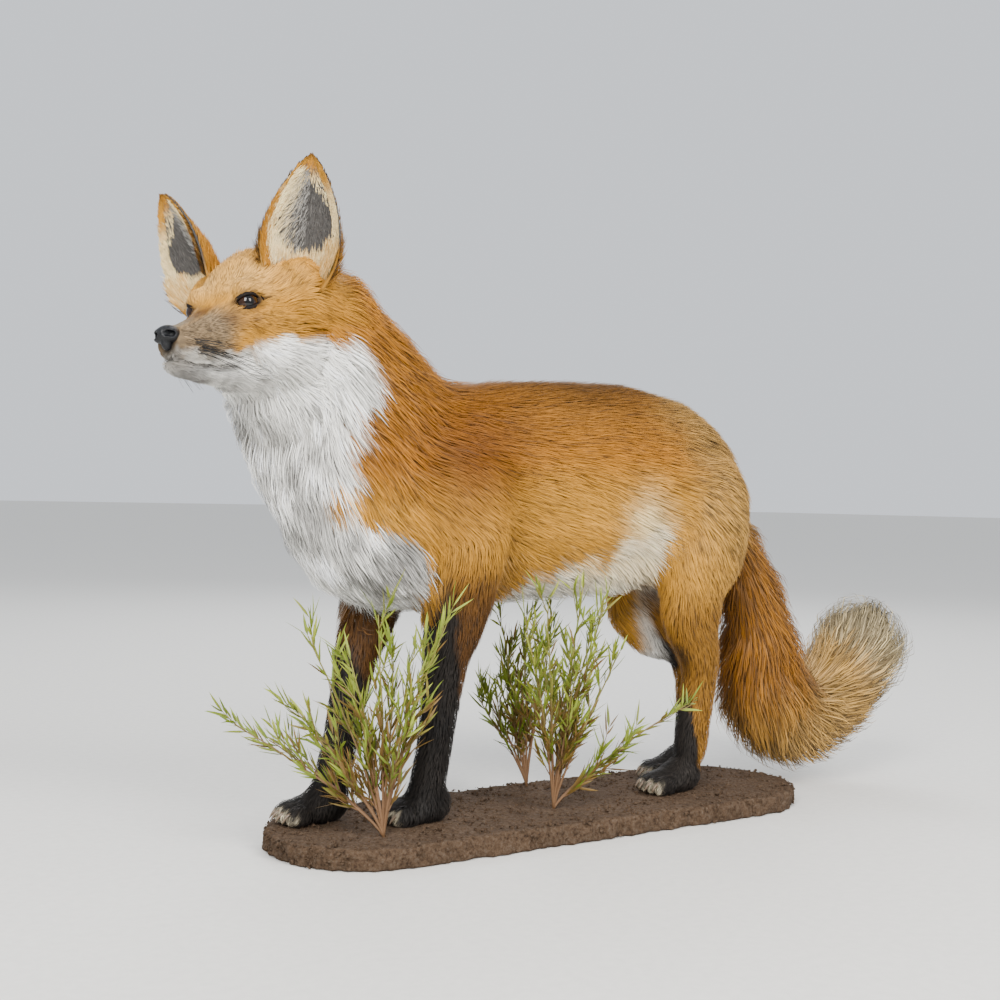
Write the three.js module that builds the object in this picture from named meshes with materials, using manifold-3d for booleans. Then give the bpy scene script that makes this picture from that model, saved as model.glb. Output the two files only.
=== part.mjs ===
// A life-size red fox mount: the animal stands on a thin soil-covered plaque, head raised and turned
// a little to its left, tail curled behind it, with three wiry plants set in the soil.
// Millimetres, +Z up. The fox faces -X and its left side is towards -Y. The origin is the centre of
// the plaque's underside. The solids reach out to the tips of the coat.
import * as THREE from "three";
import { mergeVertices } from "three/addons/utils/BufferGeometryUtils.js";
import Module from "manifold-3d";

const wasm = await Module();
wasm.setup();

// ---- driving dimensions ----
const PLAQUE = { length: 543, width: 168, thick: 18, bevel: 4 };
const MID = 7; // the body's middle plane stands this far right of the plaque's middle
const HANDS = { left: 1, right: -1 }; // side of the head
const GAP = 0.4; // clearance where two pieces meet
const GROUND = PLAQUE.thick + GAP; // the level of the soles
const HEAD = { at: [-327, -20, 427], yaw: 32, pitch: -2, roll: 7 }; // midpoint between the eyes
const EYE = { radius: 9.5, apart: 43, forward: 4, height: -0.5 };
const EAR = { height: 90, width: 33, thick: 4.4, root: [-39, 43, 22], turn: 24, back: -3 };
const EAR_LEAN = { left: 13, right: 19 }; // the right ear is held a little lower
const PAW = { half: 17.5, high: 15, toe: { reach: 12, wide: 5.8, high: 9 }, spread: [-12.6, -4.4, 4.4, 12.6] };
const STEM = { foot: 2, tip: 1 }; // radius of a plant stem where it leaves the soil and at its end

// ---- solids ----
function solidOf(geometry) {
  const bare = geometry.clone();
  bare.deleteAttribute("normal");
  bare.deleteAttribute("uv");
  const merged = mergeVertices(bare, 1e-4);
  const triVerts = new Uint32Array(merged.index.array);
  const vertProperties = new Float32Array(merged.attributes.position.array);
  const made = new wasm.Manifold(new wasm.Mesh({ numProp: 3, vertProperties, triVerts }));
  if (made.volume() > 0) return made;
  for (let i = 0; i < triVerts.length; i += 3) {
    [triVerts[i + 1], triVerts[i + 2]] = [triVerts[i + 2], triVerts[i + 1]];
  }
  return new wasm.Manifold(new wasm.Mesh({ numProp: 3, vertProperties, triVerts }));
}

function geometryOf(solid) {
  const { vertProperties, triVerts, numProp } = solid.getMesh();
  const corners = new Float32Array((vertProperties.length / numProp) * 3);
  for (let i = 0; i * 3 < corners.length; i++) {
    corners.set(vertProperties.subarray(i * numProp, i * numProp + 3), i * 3);
  }
  const geometry = new THREE.BufferGeometry();
  geometry.setAttribute("position", new THREE.BufferAttribute(corners, 3));
  geometry.setIndex(new THREE.BufferAttribute(new Uint32Array(triVerts), 1));
  const flat = geometry.toNonIndexed();
  flat.computeVertexNormals();
  return flat;
}

const upright = new THREE.Matrix4(); // the model's own frame
const join = (solids) => solids.reduce((all, one) => all.add(one));

// The largest of the bodies that a solid consists of.
const largest = (solid) => solid.decompose().reduce((a, b) => (a.volume() > b.volume() ? a : b));

// A rounded body along a smooth spine. Each station is [x, y, z, across, above, below]: the section's
// half-width along Y, and its reach on the two sides of the spine in the other direction.
function limb(stations, { around = 16, along = 14, cap = 0.14, grow = 0, frame = upright } = {}) {
  const spine = new THREE.CatmullRomCurve3(stations.map(([x, y, z]) => new THREE.Vector3(x, y, z)));
  const sizes = new THREE.CatmullRomCurve3(
    stations.map(([, , , across, above, below = above]) => new THREE.Vector3(across, above, below)),
  );
  const geometry = new THREE.SphereGeometry(1, around, along);
  const place = geometry.attributes.position;
  for (let i = 0; i < place.count; i++) {
    const t = THREE.MathUtils.clamp((1 - place.getY(i)) / 2, 0, 1);
    const end = Math.min(t, 1 - t) / cap;
    const swell = end >= 1 ? 1 : Math.sqrt(Math.max(0, 1 - (1 - end) ** 2));
    const ring = Math.hypot(place.getX(i), place.getZ(i)) || 1;
    const [c, s] = [place.getX(i) / ring, place.getZ(i) / ring];
    const tangent = spine.getTangent(t);
    const sideways = new THREE.Vector3(0, 1, 0).addScaledVector(tangent, -tangent.y).normalize();
    const upward = new THREE.Vector3().crossVectors(tangent, sideways);
    const size = sizes.getPoint(t).addScalar(grow);
    const longer = end < 1 ? grow * Math.sign(t - 0.5) * (1 - end) : 0;
    const at = spine.getPoint(t).addScaledVector(tangent, longer);
    at.addScaledVector(sideways, c * size.x * swell);
    at.addScaledVector(upward, s * swell * (s > 0 ? size.y : size.z));
    place.setXYZ(i, at.x, at.y, at.z);
  }
  return solidOf(geometry.applyMatrix4(frame));
}

function ball(at, radii, detail, frame = upright) {
  const geometry = new THREE.SphereGeometry(1, detail, Math.round(detail * 0.7));
  return solidOf(geometry.scale(...radii).translate(...at).applyMatrix4(frame));
}

// A plane for cutting: the piece lies on the side that the normal points to.
function plane(at, normal, frame = upright) {
  const facing = new THREE.Vector3(...normal).transformDirection(frame);
  return { normal: facing, offset: facing.dot(new THREE.Vector3(...at).applyMatrix4(frame)) };
}

// Parts a solid into the piece inside all the planes and the rest, with GAP between the two.
const everything = solidOf(new THREE.BoxGeometry(2000, 2000, 2000));
function part(whole, planes) {
  let piece = whole;
  let zone = everything;
  for (const { normal, offset } of planes) {
    piece = piece.trimByPlane(normal.toArray(), offset + GAP / 2);
    zone = zone.trimByPlane(normal.toArray(), offset - GAP / 2);
  }
  return [piece, whole.subtract(zone)];
}

// ---- the head, in its own frame: x forward, y to its left, z up, from between the eyes ----
const radians = THREE.MathUtils.degToRad;
const headFrame = (() => {
  const [yaw, pitch, roll] = [HEAD.yaw, HEAD.pitch, HEAD.roll].map(radians);
  const level = new THREE.Vector3(-Math.cos(yaw), -Math.sin(yaw), 0);
  const forward = level.multiplyScalar(Math.cos(pitch)).setZ(Math.sin(pitch));
  const left = new THREE.Vector3(Math.sin(yaw), -Math.cos(yaw), 0).applyAxisAngle(forward, roll);
  const up = new THREE.Vector3().crossVectors(forward, left);
  return new THREE.Matrix4().makeBasis(forward, left, up).setPosition(...HEAD.at);
})();

const SKULL = [
  [-98, 0, 0, 36, 34, 40],
  [-70, 0, 0, 48, 46, 50],
  [-38, 0, 0, 50, 50, 52],
  [-12, 0, -4, 41, 40, 46],
  [10, 0, -13, 29, 23, 37],
  [32, 0, -21, 20.5, 15.5, 28],
  [52, 0, -26, 15.5, 12, 22],
  [66, 0, -29, 12.5, 10.5, 15],
  [75, 0, -30, 10, 8.5, 11],
];
const JAW = [
  [-46, 0, -44, 24, 18, 22],
  [-10, 0, -46, 20, 14, 18],
  [30, 0, -48, 14, 9, 11],
  [60, 0, -48.5, 10.5, 6, 7.5],
  [79, 0, -47, 6.5, 4, 4.5],
];
const CHEEK = [
  [-84, 26, -24, 20, 24],
  [-52, 36, -28, 22, 30],
  [-18, 28, -30, 16, 22],
  [6, 20, -30, 9, 13],
];
const BROW = [
  [-26, 30, 17, 9, 8],
  [-8, 25, 14, 9, 7],
  [8, 17, 6, 8, 7],
];
const mirrored = (stations, hand) => stations.map(([x, y, ...more]) => [x, hand * y, ...more]);
const headSolid = (grow = 0) =>
  join([
    limb(SKULL, { around: 16, along: 17, cap: 0.1, grow, frame: headFrame }),
    limb(JAW, { around: 10, along: 9, cap: 0.16, grow, frame: headFrame }),
    ...[1, -1].flatMap((hand) => [
      limb(mirrored(CHEEK, hand), { around: 10, along: 7, cap: 0.3, grow, frame: headFrame }),
      limb(mirrored(BROW, hand), { around: 8, along: 5, cap: 0.35, grow, frame: headFrame }),
    ]),
  ]);

const NOSE = [
  [64, 0, -25, 8, 5, 6],
  [70, 0, -25.5, 10.5, 7.5, 8.5],
  [77, 0, -26.5, 10.5, 8, 9.5],
  [82, 0, -27.5, 8, 5, 7],
];
const noseSolid = (grow = 0) => limb(NOSE, { around: 10, along: 7, cap: 0.3, grow, frame: headFrame });

function eyeSolid(hand, grow = 0) {
  const at = [EYE.forward, (hand * EYE.apart) / 2, EYE.height];
  return ball(at, Array(3).fill(EYE.radius + grow), 12, headFrame);
}

// An ear is a leaf rolled into a cup: u runs across it, v from base to tip. Its own frame is
// x towards the opening, y to the head's left, z up the ear.
function earSolid(side) {
  const hand = HANDS[side];
  const geometry = new THREE.BoxGeometry(2, 1, 1, 6, 1, 8);
  const place = geometry.attributes.position;
  for (let i = 0; i < place.count; i++) {
    const [u, v] = [place.getX(i), place.getZ(i) + 0.5];
    const face = place.getY(i) > 0 ? 0.5 : -0.5;
    const pinch = 1 - 0.28 * (1 - v) ** 4; // the cup draws in at its base
    const chord = EAR.width * pinch * (1 - v ** 1.8) ** 0.75 + 2.5;
    const wrap = THREE.MathUtils.lerp(1.25, 0.6, v); // half the angle that the leaf wraps round
    const middle = chord / Math.sin(wrap);
    const radius = middle + face * EAR.thick * (1.3 - 0.7 * v);
    const bow = 5 * v * v; // the tip leans forward over the opening
    const x = middle * Math.cos(wrap * 0.6) - radius * Math.cos(u * wrap) + bow;
    place.setXYZ(i, x, radius * Math.sin(u * wrap), v * EAR.height);
  }
  const tilt = new THREE.Matrix4().makeRotationX(radians(-hand * EAR_LEAN[side]));
  tilt.multiply(new THREE.Matrix4().makeRotationY(radians(EAR.back)));
  tilt.multiply(new THREE.Matrix4().makeRotationZ(radians(hand * EAR.turn)));
  geometry.applyMatrix4(tilt).translate(EAR.root[0], hand * EAR.root[1], EAR.root[2]);
  return solidOf(geometry.applyMatrix4(headFrame));
}

// ---- neck, trunk and tail ----
const NECK = [
  [-112, MID, 250, 50, 70, 66],
  [-160, MID, 292, 60, 92, 90],
  [-205, MID, 334, 60, 92, 97],
  [-245, MID, 380, 57, 80, 92],
  [-272, MID - 1, 420, 54, 68, 86],
  [-290, MID - 4, 446, 44, 42, 62],
];
const neckSolid = (grow = 0) => limb(NECK, { around: 14, along: 10, cap: 0.16, grow });
const TRUNK = [
  [-212, MID, 284, 44, 60, 62],
  [-165, MID, 288, 60, 88, 92],
  [-105, MID, 292, 65, 96, 99],
  [-35, MID, 300, 65, 95, 104],
  [45, MID, 309, 62, 90, 112],
  [105, MID, 310, 60, 86, 112],
  [148, MID, 298, 54, 79, 90],
  [184, MID, 284, 46, 62, 62],
  [204, MID, 274, 32, 42, 44],
];
const BREAST = [
  [-243, MID, 294, 40, 38, 34],
  [-212, MID, 260, 54, 54, 50],
  [-170, MID, 244, 54, 52, 54],
  [-120, MID, 244, 46, 40, 46],
];
const TAIL = [
  [192, MID, 292, 20, 20],
  [220, MID, 254, 26, 26],
  [246, MID + 1, 208, 32, 33],
  [262, MID + 4, 156, 40, 42],
  [274, MID + 8, 108, 47, 50],
  [296, MID + 12, 76, 50, 52],
  [340, MID + 12, 72, 48, 48],
  [380, MID + 8, 98, 44, 46],
  [408, MID + 2, 136, 44, 46],
  [424, MID - 4, 172, 34, 34],
];
// Each cut across the tail: where, facing which way, and how far back it starts.
const TAIL_CUTS = [
  ["tail_tip", [392, MID, 112], [0.6, 0, 0.8], 330],
  ["tail_bend", [285, MID, 92], [0.8, 0, -0.6], 212],
  ["tail_middle", [262, MID, 160], [0.3, 0, -0.95], 212],
  ["tail_root", [226, MID, 252], [0.6, 0, -0.8], 212],
];

// ---- legs: [x, y, z, half-width, rear reach, front reach] down each leg, and the paw's spine ----
const LEGS = {
  front_left: {
    hand: -1,
    limb: [
      [-100, -40, 330, 22, 34, 40],
      [-120, -44, 285, 30, 44, 48],
      [-120, -42, 240, 31, 42, 42],
      [-120, -34, 198, 26, 30, 36],
      [-127, -25, 155, 19, 20, 25],
      [-131, -20, 110, 16, 17, 18],
      [-134, -16, 70, 15.5, 16, 17],
      [-139, -14, 40, 16, 16, 18],
      [-143, -14, 27, 16, 16, 18],
    ],
    paw: [[-131, -14, 31], [-145, -13, 30], [-156, -12, 26]],
    upper: { fore: -178, rear: -68, top: 196, inner: 8 },
    joints: [168, 46],
  },
  front_right: {
    hand: 1,
    limb: [
      [-124, 52, 325, 20, 34, 36],
      [-146, 56, 280, 27, 42, 44],
      [-154, 52, 236, 27, 38, 38],
      [-160, 44, 196, 23, 29, 30],
      [-180, 37, 152, 18, 21, 21],
      [-190, 33, 110, 15.5, 17, 17],
      [-198, 31, 72, 15.5, 16, 17],
      [-206, 30, 42, 16, 16, 18],
      [-211, 30, 28, 16, 16, 18],
    ],
    paw: [[-196, 30, 31], [-212, 31, 30], [-230, 32, 26]],
    upper: { fore: -206, rear: -98, top: 196, inner: 8 },
    joints: [168, 46],
  },
  hind_left: {
    hand: -1,
    limb: [
      [150, -34, 335, 24, 34, 40],
      [148, -42, 290, 32, 48, 50],
      [132, -44, 240, 32, 54, 46],
      [122, -40, 196, 26, 44, 36],
      [140, -32, 160, 20, 27, 26],
      [154, -25, 134, 17, 21, 21],
      [153, -21, 100, 16, 18, 18],
      [149, -19, 62, 16, 18, 18],
      [146, -18, 36, 16, 17, 18],
    ],
    paw: [[154, -18, 31], [136, -18, 30], [116, -18, 26]],
    upper: { fore: 84, rear: 199, top: 212, inner: 14 },
    joints: [148, 46],
  },
  hind_right: {
    hand: 1,
    limb: [
      [166, 46, 330, 24, 34, 40],
      [166, 54, 285, 31, 46, 50],
      [154, 54, 236, 31, 48, 58],
      [146, 50, 194, 25, 40, 56],
      [172, 42, 162, 19, 26, 44],
      [192, 36, 136, 16, 19, 20],
      [193, 33, 100, 15, 16, 16],
      [191, 31, 62, 15, 16, 16],
      [188, 30, 36, 15, 16, 17],
    ],
    paw: [[194, 30, 31], [176, 30, 30], [156, 30, 26]],
    upper: { fore: 84, rear: 215, top: 212, inner: 14 },
    joints: [148, 46],
  },
};

function pawSolid([heel, middle, front]) {
  const { half, high, toe, spread } = PAW;
  const stations = [
    [...heel, half - 2.5, high - 2],
    [...middle, half, high],
    [...front, half, high - 4],
  ];
  const toes = spread.map((offset) => {
    const forward = 4 + 6 * Math.cos((offset / half) * 1.4);
    return ball([front[0] - forward, front[1] + offset, front[2] - 2], [toe.reach, toe.wide, toe.high], 6);
  });
  return join([limb(stations, { around: 8, along: 6, cap: 0.34 }), ...toes]);
}

// Parts one leg from the body: first what hangs below the slanting cut through shoulder or hip,
// then its own two joints.
function partLeg(body, { hand, upper, joints }) {
  const side = (y) => plane([0, y, 0], [0, hand, 0]);
  const half = plane([0, 0, 0], [Math.sign(upper.fore), 0, 0]);
  const below = (z) => plane([0, 0, z], [0, 0, -1]);
  const inner = MID + hand * upper.inner;
  const [paw, noPaw] = part(body, [below(joints[1]), side(MID + 2), half]);
  const [lower, noShin] = part(noPaw, [below(joints[0]), side(MID + 2), half]);
  const [thigh, rest] = part(noShin, [
    plane([0, inner, upper.top], [0, hand * 0.8, -0.6]),
    plane([upper.fore, 0, 0], [1, 0, 0]),
    plane([upper.rear, 0, 0], [-1, 0, 0]),
    side(inner),
  ]);
  return { pieces: { paw, lower, upper: thigh }, rest };
}

// ---- the whole body, cut to the places of eyes and nose, then parted ----
const flesh = join([
  limb(TRUNK, { around: 14, along: 13, cap: 0.1 }),
  limb(BREAST, { around: 10, along: 7, cap: 0.25 }),
  neckSolid(),
  limb(TAIL, { around: 12, along: 22, cap: 0.07 }),
  headSolid(),
  ...Object.values(LEGS).map((leg) => limb(leg.limb, { around: 10, along: 14, cap: 0.08 })),
  ...Object.values(LEGS).map((leg) => pawSolid(leg.paw)),
]).trimByPlane([0, 0, 1], GROUND);

const root = new THREE.Group();
const COLOURS = {
  orange: "#b9722a",
  white: "#dcd8d0",
  black: "#231f20",
  buff: "#c79a5c",
  soil: "#54392a",
  stem: "#8a7346",
};
function add(name, solid, color, roughness = 0.85) {
  const material = new THREE.MeshStandardMaterial({ color, roughness, metalness: 0 });
  const mesh = new THREE.Mesh(geometryOf(solid), material);
  mesh.name = name;
  root.add(mesh);
}

let rest = flesh.subtract(noseSolid(GAP));
for (const hand of Object.values(HANDS)) rest = rest.subtract(eyeSolid(hand, GAP));
for (const [name, at, normal, fore] of TAIL_CUTS) {
  const [piece, left] = part(rest, [plane(at, normal), plane([fore, 0, 0], [1, 0, 0])]);
  add(name, piece, COLOURS.orange);
  rest = left;
}
for (const [place, leg] of Object.entries(LEGS)) {
  const parted = partLeg(rest, leg);
  add(`leg_${place}_upper`, parted.pieces.upper, COLOURS.orange);
  add(`leg_${place}_lower`, parted.pieces.lower, COLOURS.black);
  add(`paw_${place}`, parted.pieces.paw, COLOURS.black);
  rest = parted.rest;
}
const [head, noHead] = part(rest, [plane([-60, 0, -20], [0.6, 0, 0.8], headFrame)]);
const mouth = plane([34, 0, -48], [0.152, 0, -0.988], headFrame);
const [jaw, skull] = part(head, [mouth, plane([-26, 0, -50], [1, 0, 0], headFrame)]);
const [neck, trunk] = part(noHead, [plane([-185, MID, 312], [-0.8, 0, 0.6])]);
add("head", skull, COLOURS.orange);
add("jaw", jaw, COLOURS.white);
add("neck", neck, COLOURS.orange);
add("trunk", trunk, COLOURS.orange);
add("nose", noseSolid(), COLOURS.black, 0.4);
const scalp = headSolid(GAP).add(neckSolid(GAP));
for (const [side, hand] of Object.entries(HANDS)) {
  add(`ear_${side}`, largest(earSolid(side).subtract(scalp)), COLOURS.orange);
  add(`eye_${side}`, eyeSolid(hand), COLOURS.black, 0.1);
}

// ---- the plaque: a long rounded slab with a softened rim ----
function plaqueSolid() {
  const { length, width, thick, bevel } = PLAQUE;
  const r = width / 2 - bevel;
  const half = length / 2 - bevel - r;
  const outline = new THREE.Shape();
  outline.absarc(half, 0, r, -Math.PI / 2, Math.PI / 2);
  outline.absarc(-half, 0, r, Math.PI / 2, (3 * Math.PI) / 2);
  const geometry = new THREE.ExtrudeGeometry(outline, {
    depth: thick - 2 * bevel,
    bevelThickness: bevel,
    bevelSize: bevel,
    bevelSegments: 1,
    curveSegments: 9,
  });
  return solidOf(geometry.translate(0, 0, bevel));
}
add("plaque", plaqueSolid(), COLOURS.soil);

// ---- plants: stems fan out from one root; each is [x, y, z] from the root to the stem's end ----
const PLANTS = {
  plant_front: {
    root: [-195, -43],
    stems: [
      [34, -30, 168],
      [10, -26, 150],
      [-10, -4, 176],
      [-30, 4, 140],
      [-56, 30, 158],
      [-104, 58, 88],
      [-64, 26, 100],
    ],
  },
  plant_middle: {
    root: [-18, -29],
    stems: [
      [-56, -32, 172],
      [-36, -34, 186],
      [-4, -40, 194],
      [22, -42, 186],
      [46, -34, 138],
      [108, -52, 92],
      [12, -10, 130],
    ],
  },
  plant_back: {
    root: [20, 66],
    stems: [
      [-26, 16, 160],
      [-44, 22, 98],
      [4, 14, 158],
      [26, -6, 164],
      [-12, 22, 128],
    ],
  },
};

function plantSolid({ root: [x, y], stems }) {
  const foot = ball([x, y, GROUND], [5, 5, 6], 6);
  const grown = stems.map(([dx, dy, rise]) => {
    const stations = [-0.05, 0.3, 0.65, 1].map((t) => {
      const out = Math.sign(t) * Math.abs(t) ** 1.25;
      const thick = THREE.MathUtils.lerp(STEM.foot, STEM.tip, t);
      return [x + dx * out, y + dy * out, GROUND + rise * t, thick, thick];
    });
    return limb(stations, { around: 4, along: 6, cap: 0.02 });
  });
  return join([foot, ...grown]).trimByPlane([0, 0, 1], GROUND);
}
for (const [name, plant] of Object.entries(PLANTS)) add(name, plantSolid(plant), COLOURS.stem);

export default root;
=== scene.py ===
# A life-size red fox mount on its soil-covered plaque, with three wiry plants.
# Shapes are worked out in millimetres in the model's own frame: +Z up, the fox faces -X and its left
# side is towards -Y. They are put into metres when a mesh is made.
import math

import bpy
import numpy as np
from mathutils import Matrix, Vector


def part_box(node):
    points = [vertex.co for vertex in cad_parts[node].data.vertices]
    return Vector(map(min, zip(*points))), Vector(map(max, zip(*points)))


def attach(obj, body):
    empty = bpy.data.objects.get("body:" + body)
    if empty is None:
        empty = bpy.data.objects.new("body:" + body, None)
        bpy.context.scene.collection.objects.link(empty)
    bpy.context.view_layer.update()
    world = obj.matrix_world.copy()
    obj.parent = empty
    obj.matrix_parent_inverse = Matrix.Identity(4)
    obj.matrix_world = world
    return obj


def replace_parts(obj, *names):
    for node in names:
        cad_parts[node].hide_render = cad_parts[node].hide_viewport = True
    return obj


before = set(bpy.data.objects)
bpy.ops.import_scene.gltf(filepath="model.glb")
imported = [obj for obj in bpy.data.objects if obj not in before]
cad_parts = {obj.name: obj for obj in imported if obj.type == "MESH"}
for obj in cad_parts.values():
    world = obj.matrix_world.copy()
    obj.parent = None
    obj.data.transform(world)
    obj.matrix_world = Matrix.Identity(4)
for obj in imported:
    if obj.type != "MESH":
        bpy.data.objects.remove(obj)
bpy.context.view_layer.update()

import openvdb
from mathutils import Matrix, Vector

MM = 0.001
MID = 7  # the body's middle plane, Y
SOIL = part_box("plaque")[1].z / MM  # level of the plaque's top


# ---- small tools ----
def rows(*values):
    """Numbers, or rows of them, as an array."""
    return np.array(values, float)


def unit(vectors):
    vectors = np.asarray(vectors, float)
    return vectors / np.maximum(np.linalg.norm(vectors, axis=-1, keepdims=True), 1e-9)


def step(low, high, value):
    """0 below low, 1 above high, and a smooth rise between them."""
    t = np.clip((value - low) / (high - low), 0, 1)
    return t * t * (3 - 2 * t)


def mix(a, b, share):
    return a + (b - a) * share


def tint(a, b, share):
    """Mixes two colours, or two lists of them, by a share for each place."""
    return a + (b - a) * np.asarray(share, float)[..., None]


def melt(a, b, blend):
    """The union of two solids given as distances, with a soft fillet of that size between them."""
    share = np.clip(0.5 + 0.5 * (b - a) / blend, 0, 1)
    return b + (a - b) * share - blend * share * (1 - share)


def carve(a, b, blend):
    """Solid a less solid b, with a soft edge."""
    return -melt(-a, b, blend)


def ellipsoid(p, centre, radii):
    q = (p - rows(*centre)) / rows(*radii)
    near = np.linalg.norm(q, axis=-1)
    slope = np.linalg.norm(q / rows(*radii), axis=-1)
    return near * (near - 1) / np.maximum(slope, 1e-6)


def tube(p, stations):
    """A body along x. Each station is [x, middle height, half-width, reach up, reach down]."""
    stations = rows(*stations)
    x = p[..., 0]
    height, wide, up, down = (np.interp(x, stations[:, 0], stations[:, k]) for k in range(1, 5))
    rise = p[..., 2] - height
    tall = np.where(rise > 0, up, down)
    ring = np.sqrt((p[..., 1] / wide) ** 2 + (rise / tall) ** 2)
    side = (ring - 1) * np.minimum(wide, tall)
    past = np.maximum(np.maximum(stations[0, 0] - x, x - stations[-1, 0]), 0)
    return np.where(past > 0, np.hypot(np.maximum(side, 0), past), side)


def blended(values, cell, t):
    """Reads a block of values between its points: t is each place's share of the way through its cell."""
    total = 0
    for corner in np.ndindex(2, 2, 2):
        share = np.prod(np.where(np.array(corner) == 1, t, 1 - t), axis=-1)
        i, j, k = np.moveaxis((cell + np.array(corner)) % np.array(values.shape), -1, 0)
        total = total + share * values[i, j, k]
    return total


class Cloud:
    """A soft random field around 0, with lumps of the size given."""

    LATTICE = (24, 24, 24)
    CONTRAST = 1.6

    def __init__(self, size, seed):
        self.size = size
        self.lattice = np.random.default_rng(seed).uniform(-1, 1, self.LATTICE)

    def __call__(self, points):
        place = np.asarray(points, float) / self.size
        cell = np.floor(place).astype(int)
        t = place - cell
        return blended(self.lattice, cell, t * t * (3 - 2 * t)) * self.CONTRAST


# ---- the head's own frame: x forward, y to its left, z up, from between the eyes ----
HEAD_YAW, HEAD_PITCH = math.radians(32), math.radians(-2)
EYE_AHEAD, EYE_RISE = 4, -0.5  # the eyes' place in the head's frame
EYE_RADIUS = (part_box("eye_left")[1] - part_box("eye_left")[0]).z / MM / 2


def box_of(node):
    """The node's lowest and highest corners in millimetres."""
    return [rows(*corner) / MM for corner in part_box(node)]


def centre_of(node):
    low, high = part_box(node)
    return rows(*(low + high)) / 2 / MM


def head_axes():
    left = unit(centre_of("eye_left") - centre_of("eye_right"))
    level = rows(-math.cos(HEAD_YAW), -math.sin(HEAD_YAW), 0) * math.cos(HEAD_PITCH)
    level[2] = math.sin(HEAD_PITCH)
    forward = unit(level - left * (level @ left))
    up = np.cross(forward, left)
    at = (centre_of("eye_left") + centre_of("eye_right")) / 2
    return np.stack([forward, left, up], 1), at - forward * EYE_AHEAD - up * EYE_RISE


HEAD_TURN, HEAD_AT = head_axes()
EYE_APART = np.linalg.norm(centre_of("eye_left") - centre_of("eye_right"))


def from_head(p):
    return np.asarray(p, float) @ HEAD_TURN.T + HEAD_AT


def to_head(p):
    return (np.asarray(p, float) - HEAD_AT) @ HEAD_TURN


def mirrored(q):
    """Places in the head's frame, with the right ones brought across to the left."""
    return np.stack([q[..., 0], np.abs(q[..., 1]), q[..., 2]], -1)


# ---- solids as distances on a grid ----
FAR = 10.0  # the distance given to places that a grid doesn't hold


class Solid:
    """Signed distances (mm, negative inside) on a regular grid in the row frame or the head's frame."""

    def __init__(self, low, cell, values):
        self.low, self.cell, self.values = np.asarray(low, float), cell, values.astype(np.float32)

    def at(self, p):
        place = (np.asarray(p) - self.low) / self.cell
        place = np.clip(place, 0, np.array(self.values.shape) - 1.001)
        cell = place.astype(int)
        return blended(self.values, cell, place - cell)

    def surface(self):
        """The surface's points, and its faces as an array for each count of corners."""
        grid = openvdb.FloatGrid(FAR)
        grid.copyFromArray(self.values)
        points, triangles, quads = grid.convertToPolygons(0.0, 0.0)
        corners = [np.asarray(t) for t in (triangles, quads) if len(t)]
        return np.asarray(points) * self.cell + self.low, corners


def grid_points(low, high, cell):
    axes = [np.arange(a, b + cell, cell) for a, b in zip(low, high)]
    return np.stack(np.meshgrid(*axes, indexing="ij"), -1)


def softened(values, sigma):
    """Blurs an array by a bell curve of that many cells."""
    reach = int(sigma * 3 + 1)
    bell = np.exp(-0.5 * (np.arange(-reach, reach + 1) / sigma) ** 2)
    bell /= bell.sum()
    for axis in range(3):
        padded = np.pad(values, [(reach, reach) if a == axis else (0, 0) for a in range(3)], "edge")
        size = values.shape[axis]
        values = sum(
            share * np.take(padded, range(k, k + size), axis).astype(np.float32)
            for k, share in enumerate(bell)
        )
    return values


def level_set(points, triangles, quads, shape, reach):
    made = openvdb.FloatGrid.createLevelSetFromPolygons(
        points.astype(np.float32),
        triangles=triangles if len(triangles) else None,
        quads=quads if len(quads) else None,
        transform=openvdb.createLinearTransform(1.0),
        halfWidth=reach,
    )
    values = np.full(shape, reach, np.float32)
    made.copyToArray(values)
    return made, values


NOT_FLESH = ("eye_", "nose", "plaque", "plant_", "ear_")
FLESH = [n for n in sorted(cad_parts) if not n.startswith(NOT_FLESH)]
EARS = ["ear_left", "ear_right"]


def flesh_envelope(cell=3.0, margin=9.0, seal=1.2, reach=14.0):
    """How far each place lies outside the coat's outer form, from the flesh nodes as one body."""
    corners, faces, count = [], [], 0
    for name in FLESH:
        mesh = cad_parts[name].data
        mesh.calc_loop_triangles()
        co = np.zeros(len(mesh.vertices) * 3, np.float32)
        mesh.vertices.foreach_get("co", co)
        tri = np.zeros(len(mesh.loop_triangles) * 3, np.int32)
        mesh.loop_triangles.foreach_get("vertices", tri)
        corners.append(co.reshape(-1, 3) / MM)
        faces.append(tri.reshape(-1, 3) + count)
        count += len(mesh.vertices)
    corners, faces = np.concatenate(corners), np.concatenate(faces)
    low = corners.min(0) - margin
    shape = tuple(np.ceil((corners.max(0) + margin - low) / cell).astype(int) + 1)
    none = np.zeros((0, 4), np.uint32)
    grid, _ = level_set((corners - low) / cell, faces.astype(np.uint32), none, shape, 3.0)
    points, triangles, quads = grid.convertToPolygons(seal / cell, 0.0)
    _, values = level_set(points, triangles, quads, shape, reach)
    return Solid(low, cell, values * cell + seal)


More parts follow.
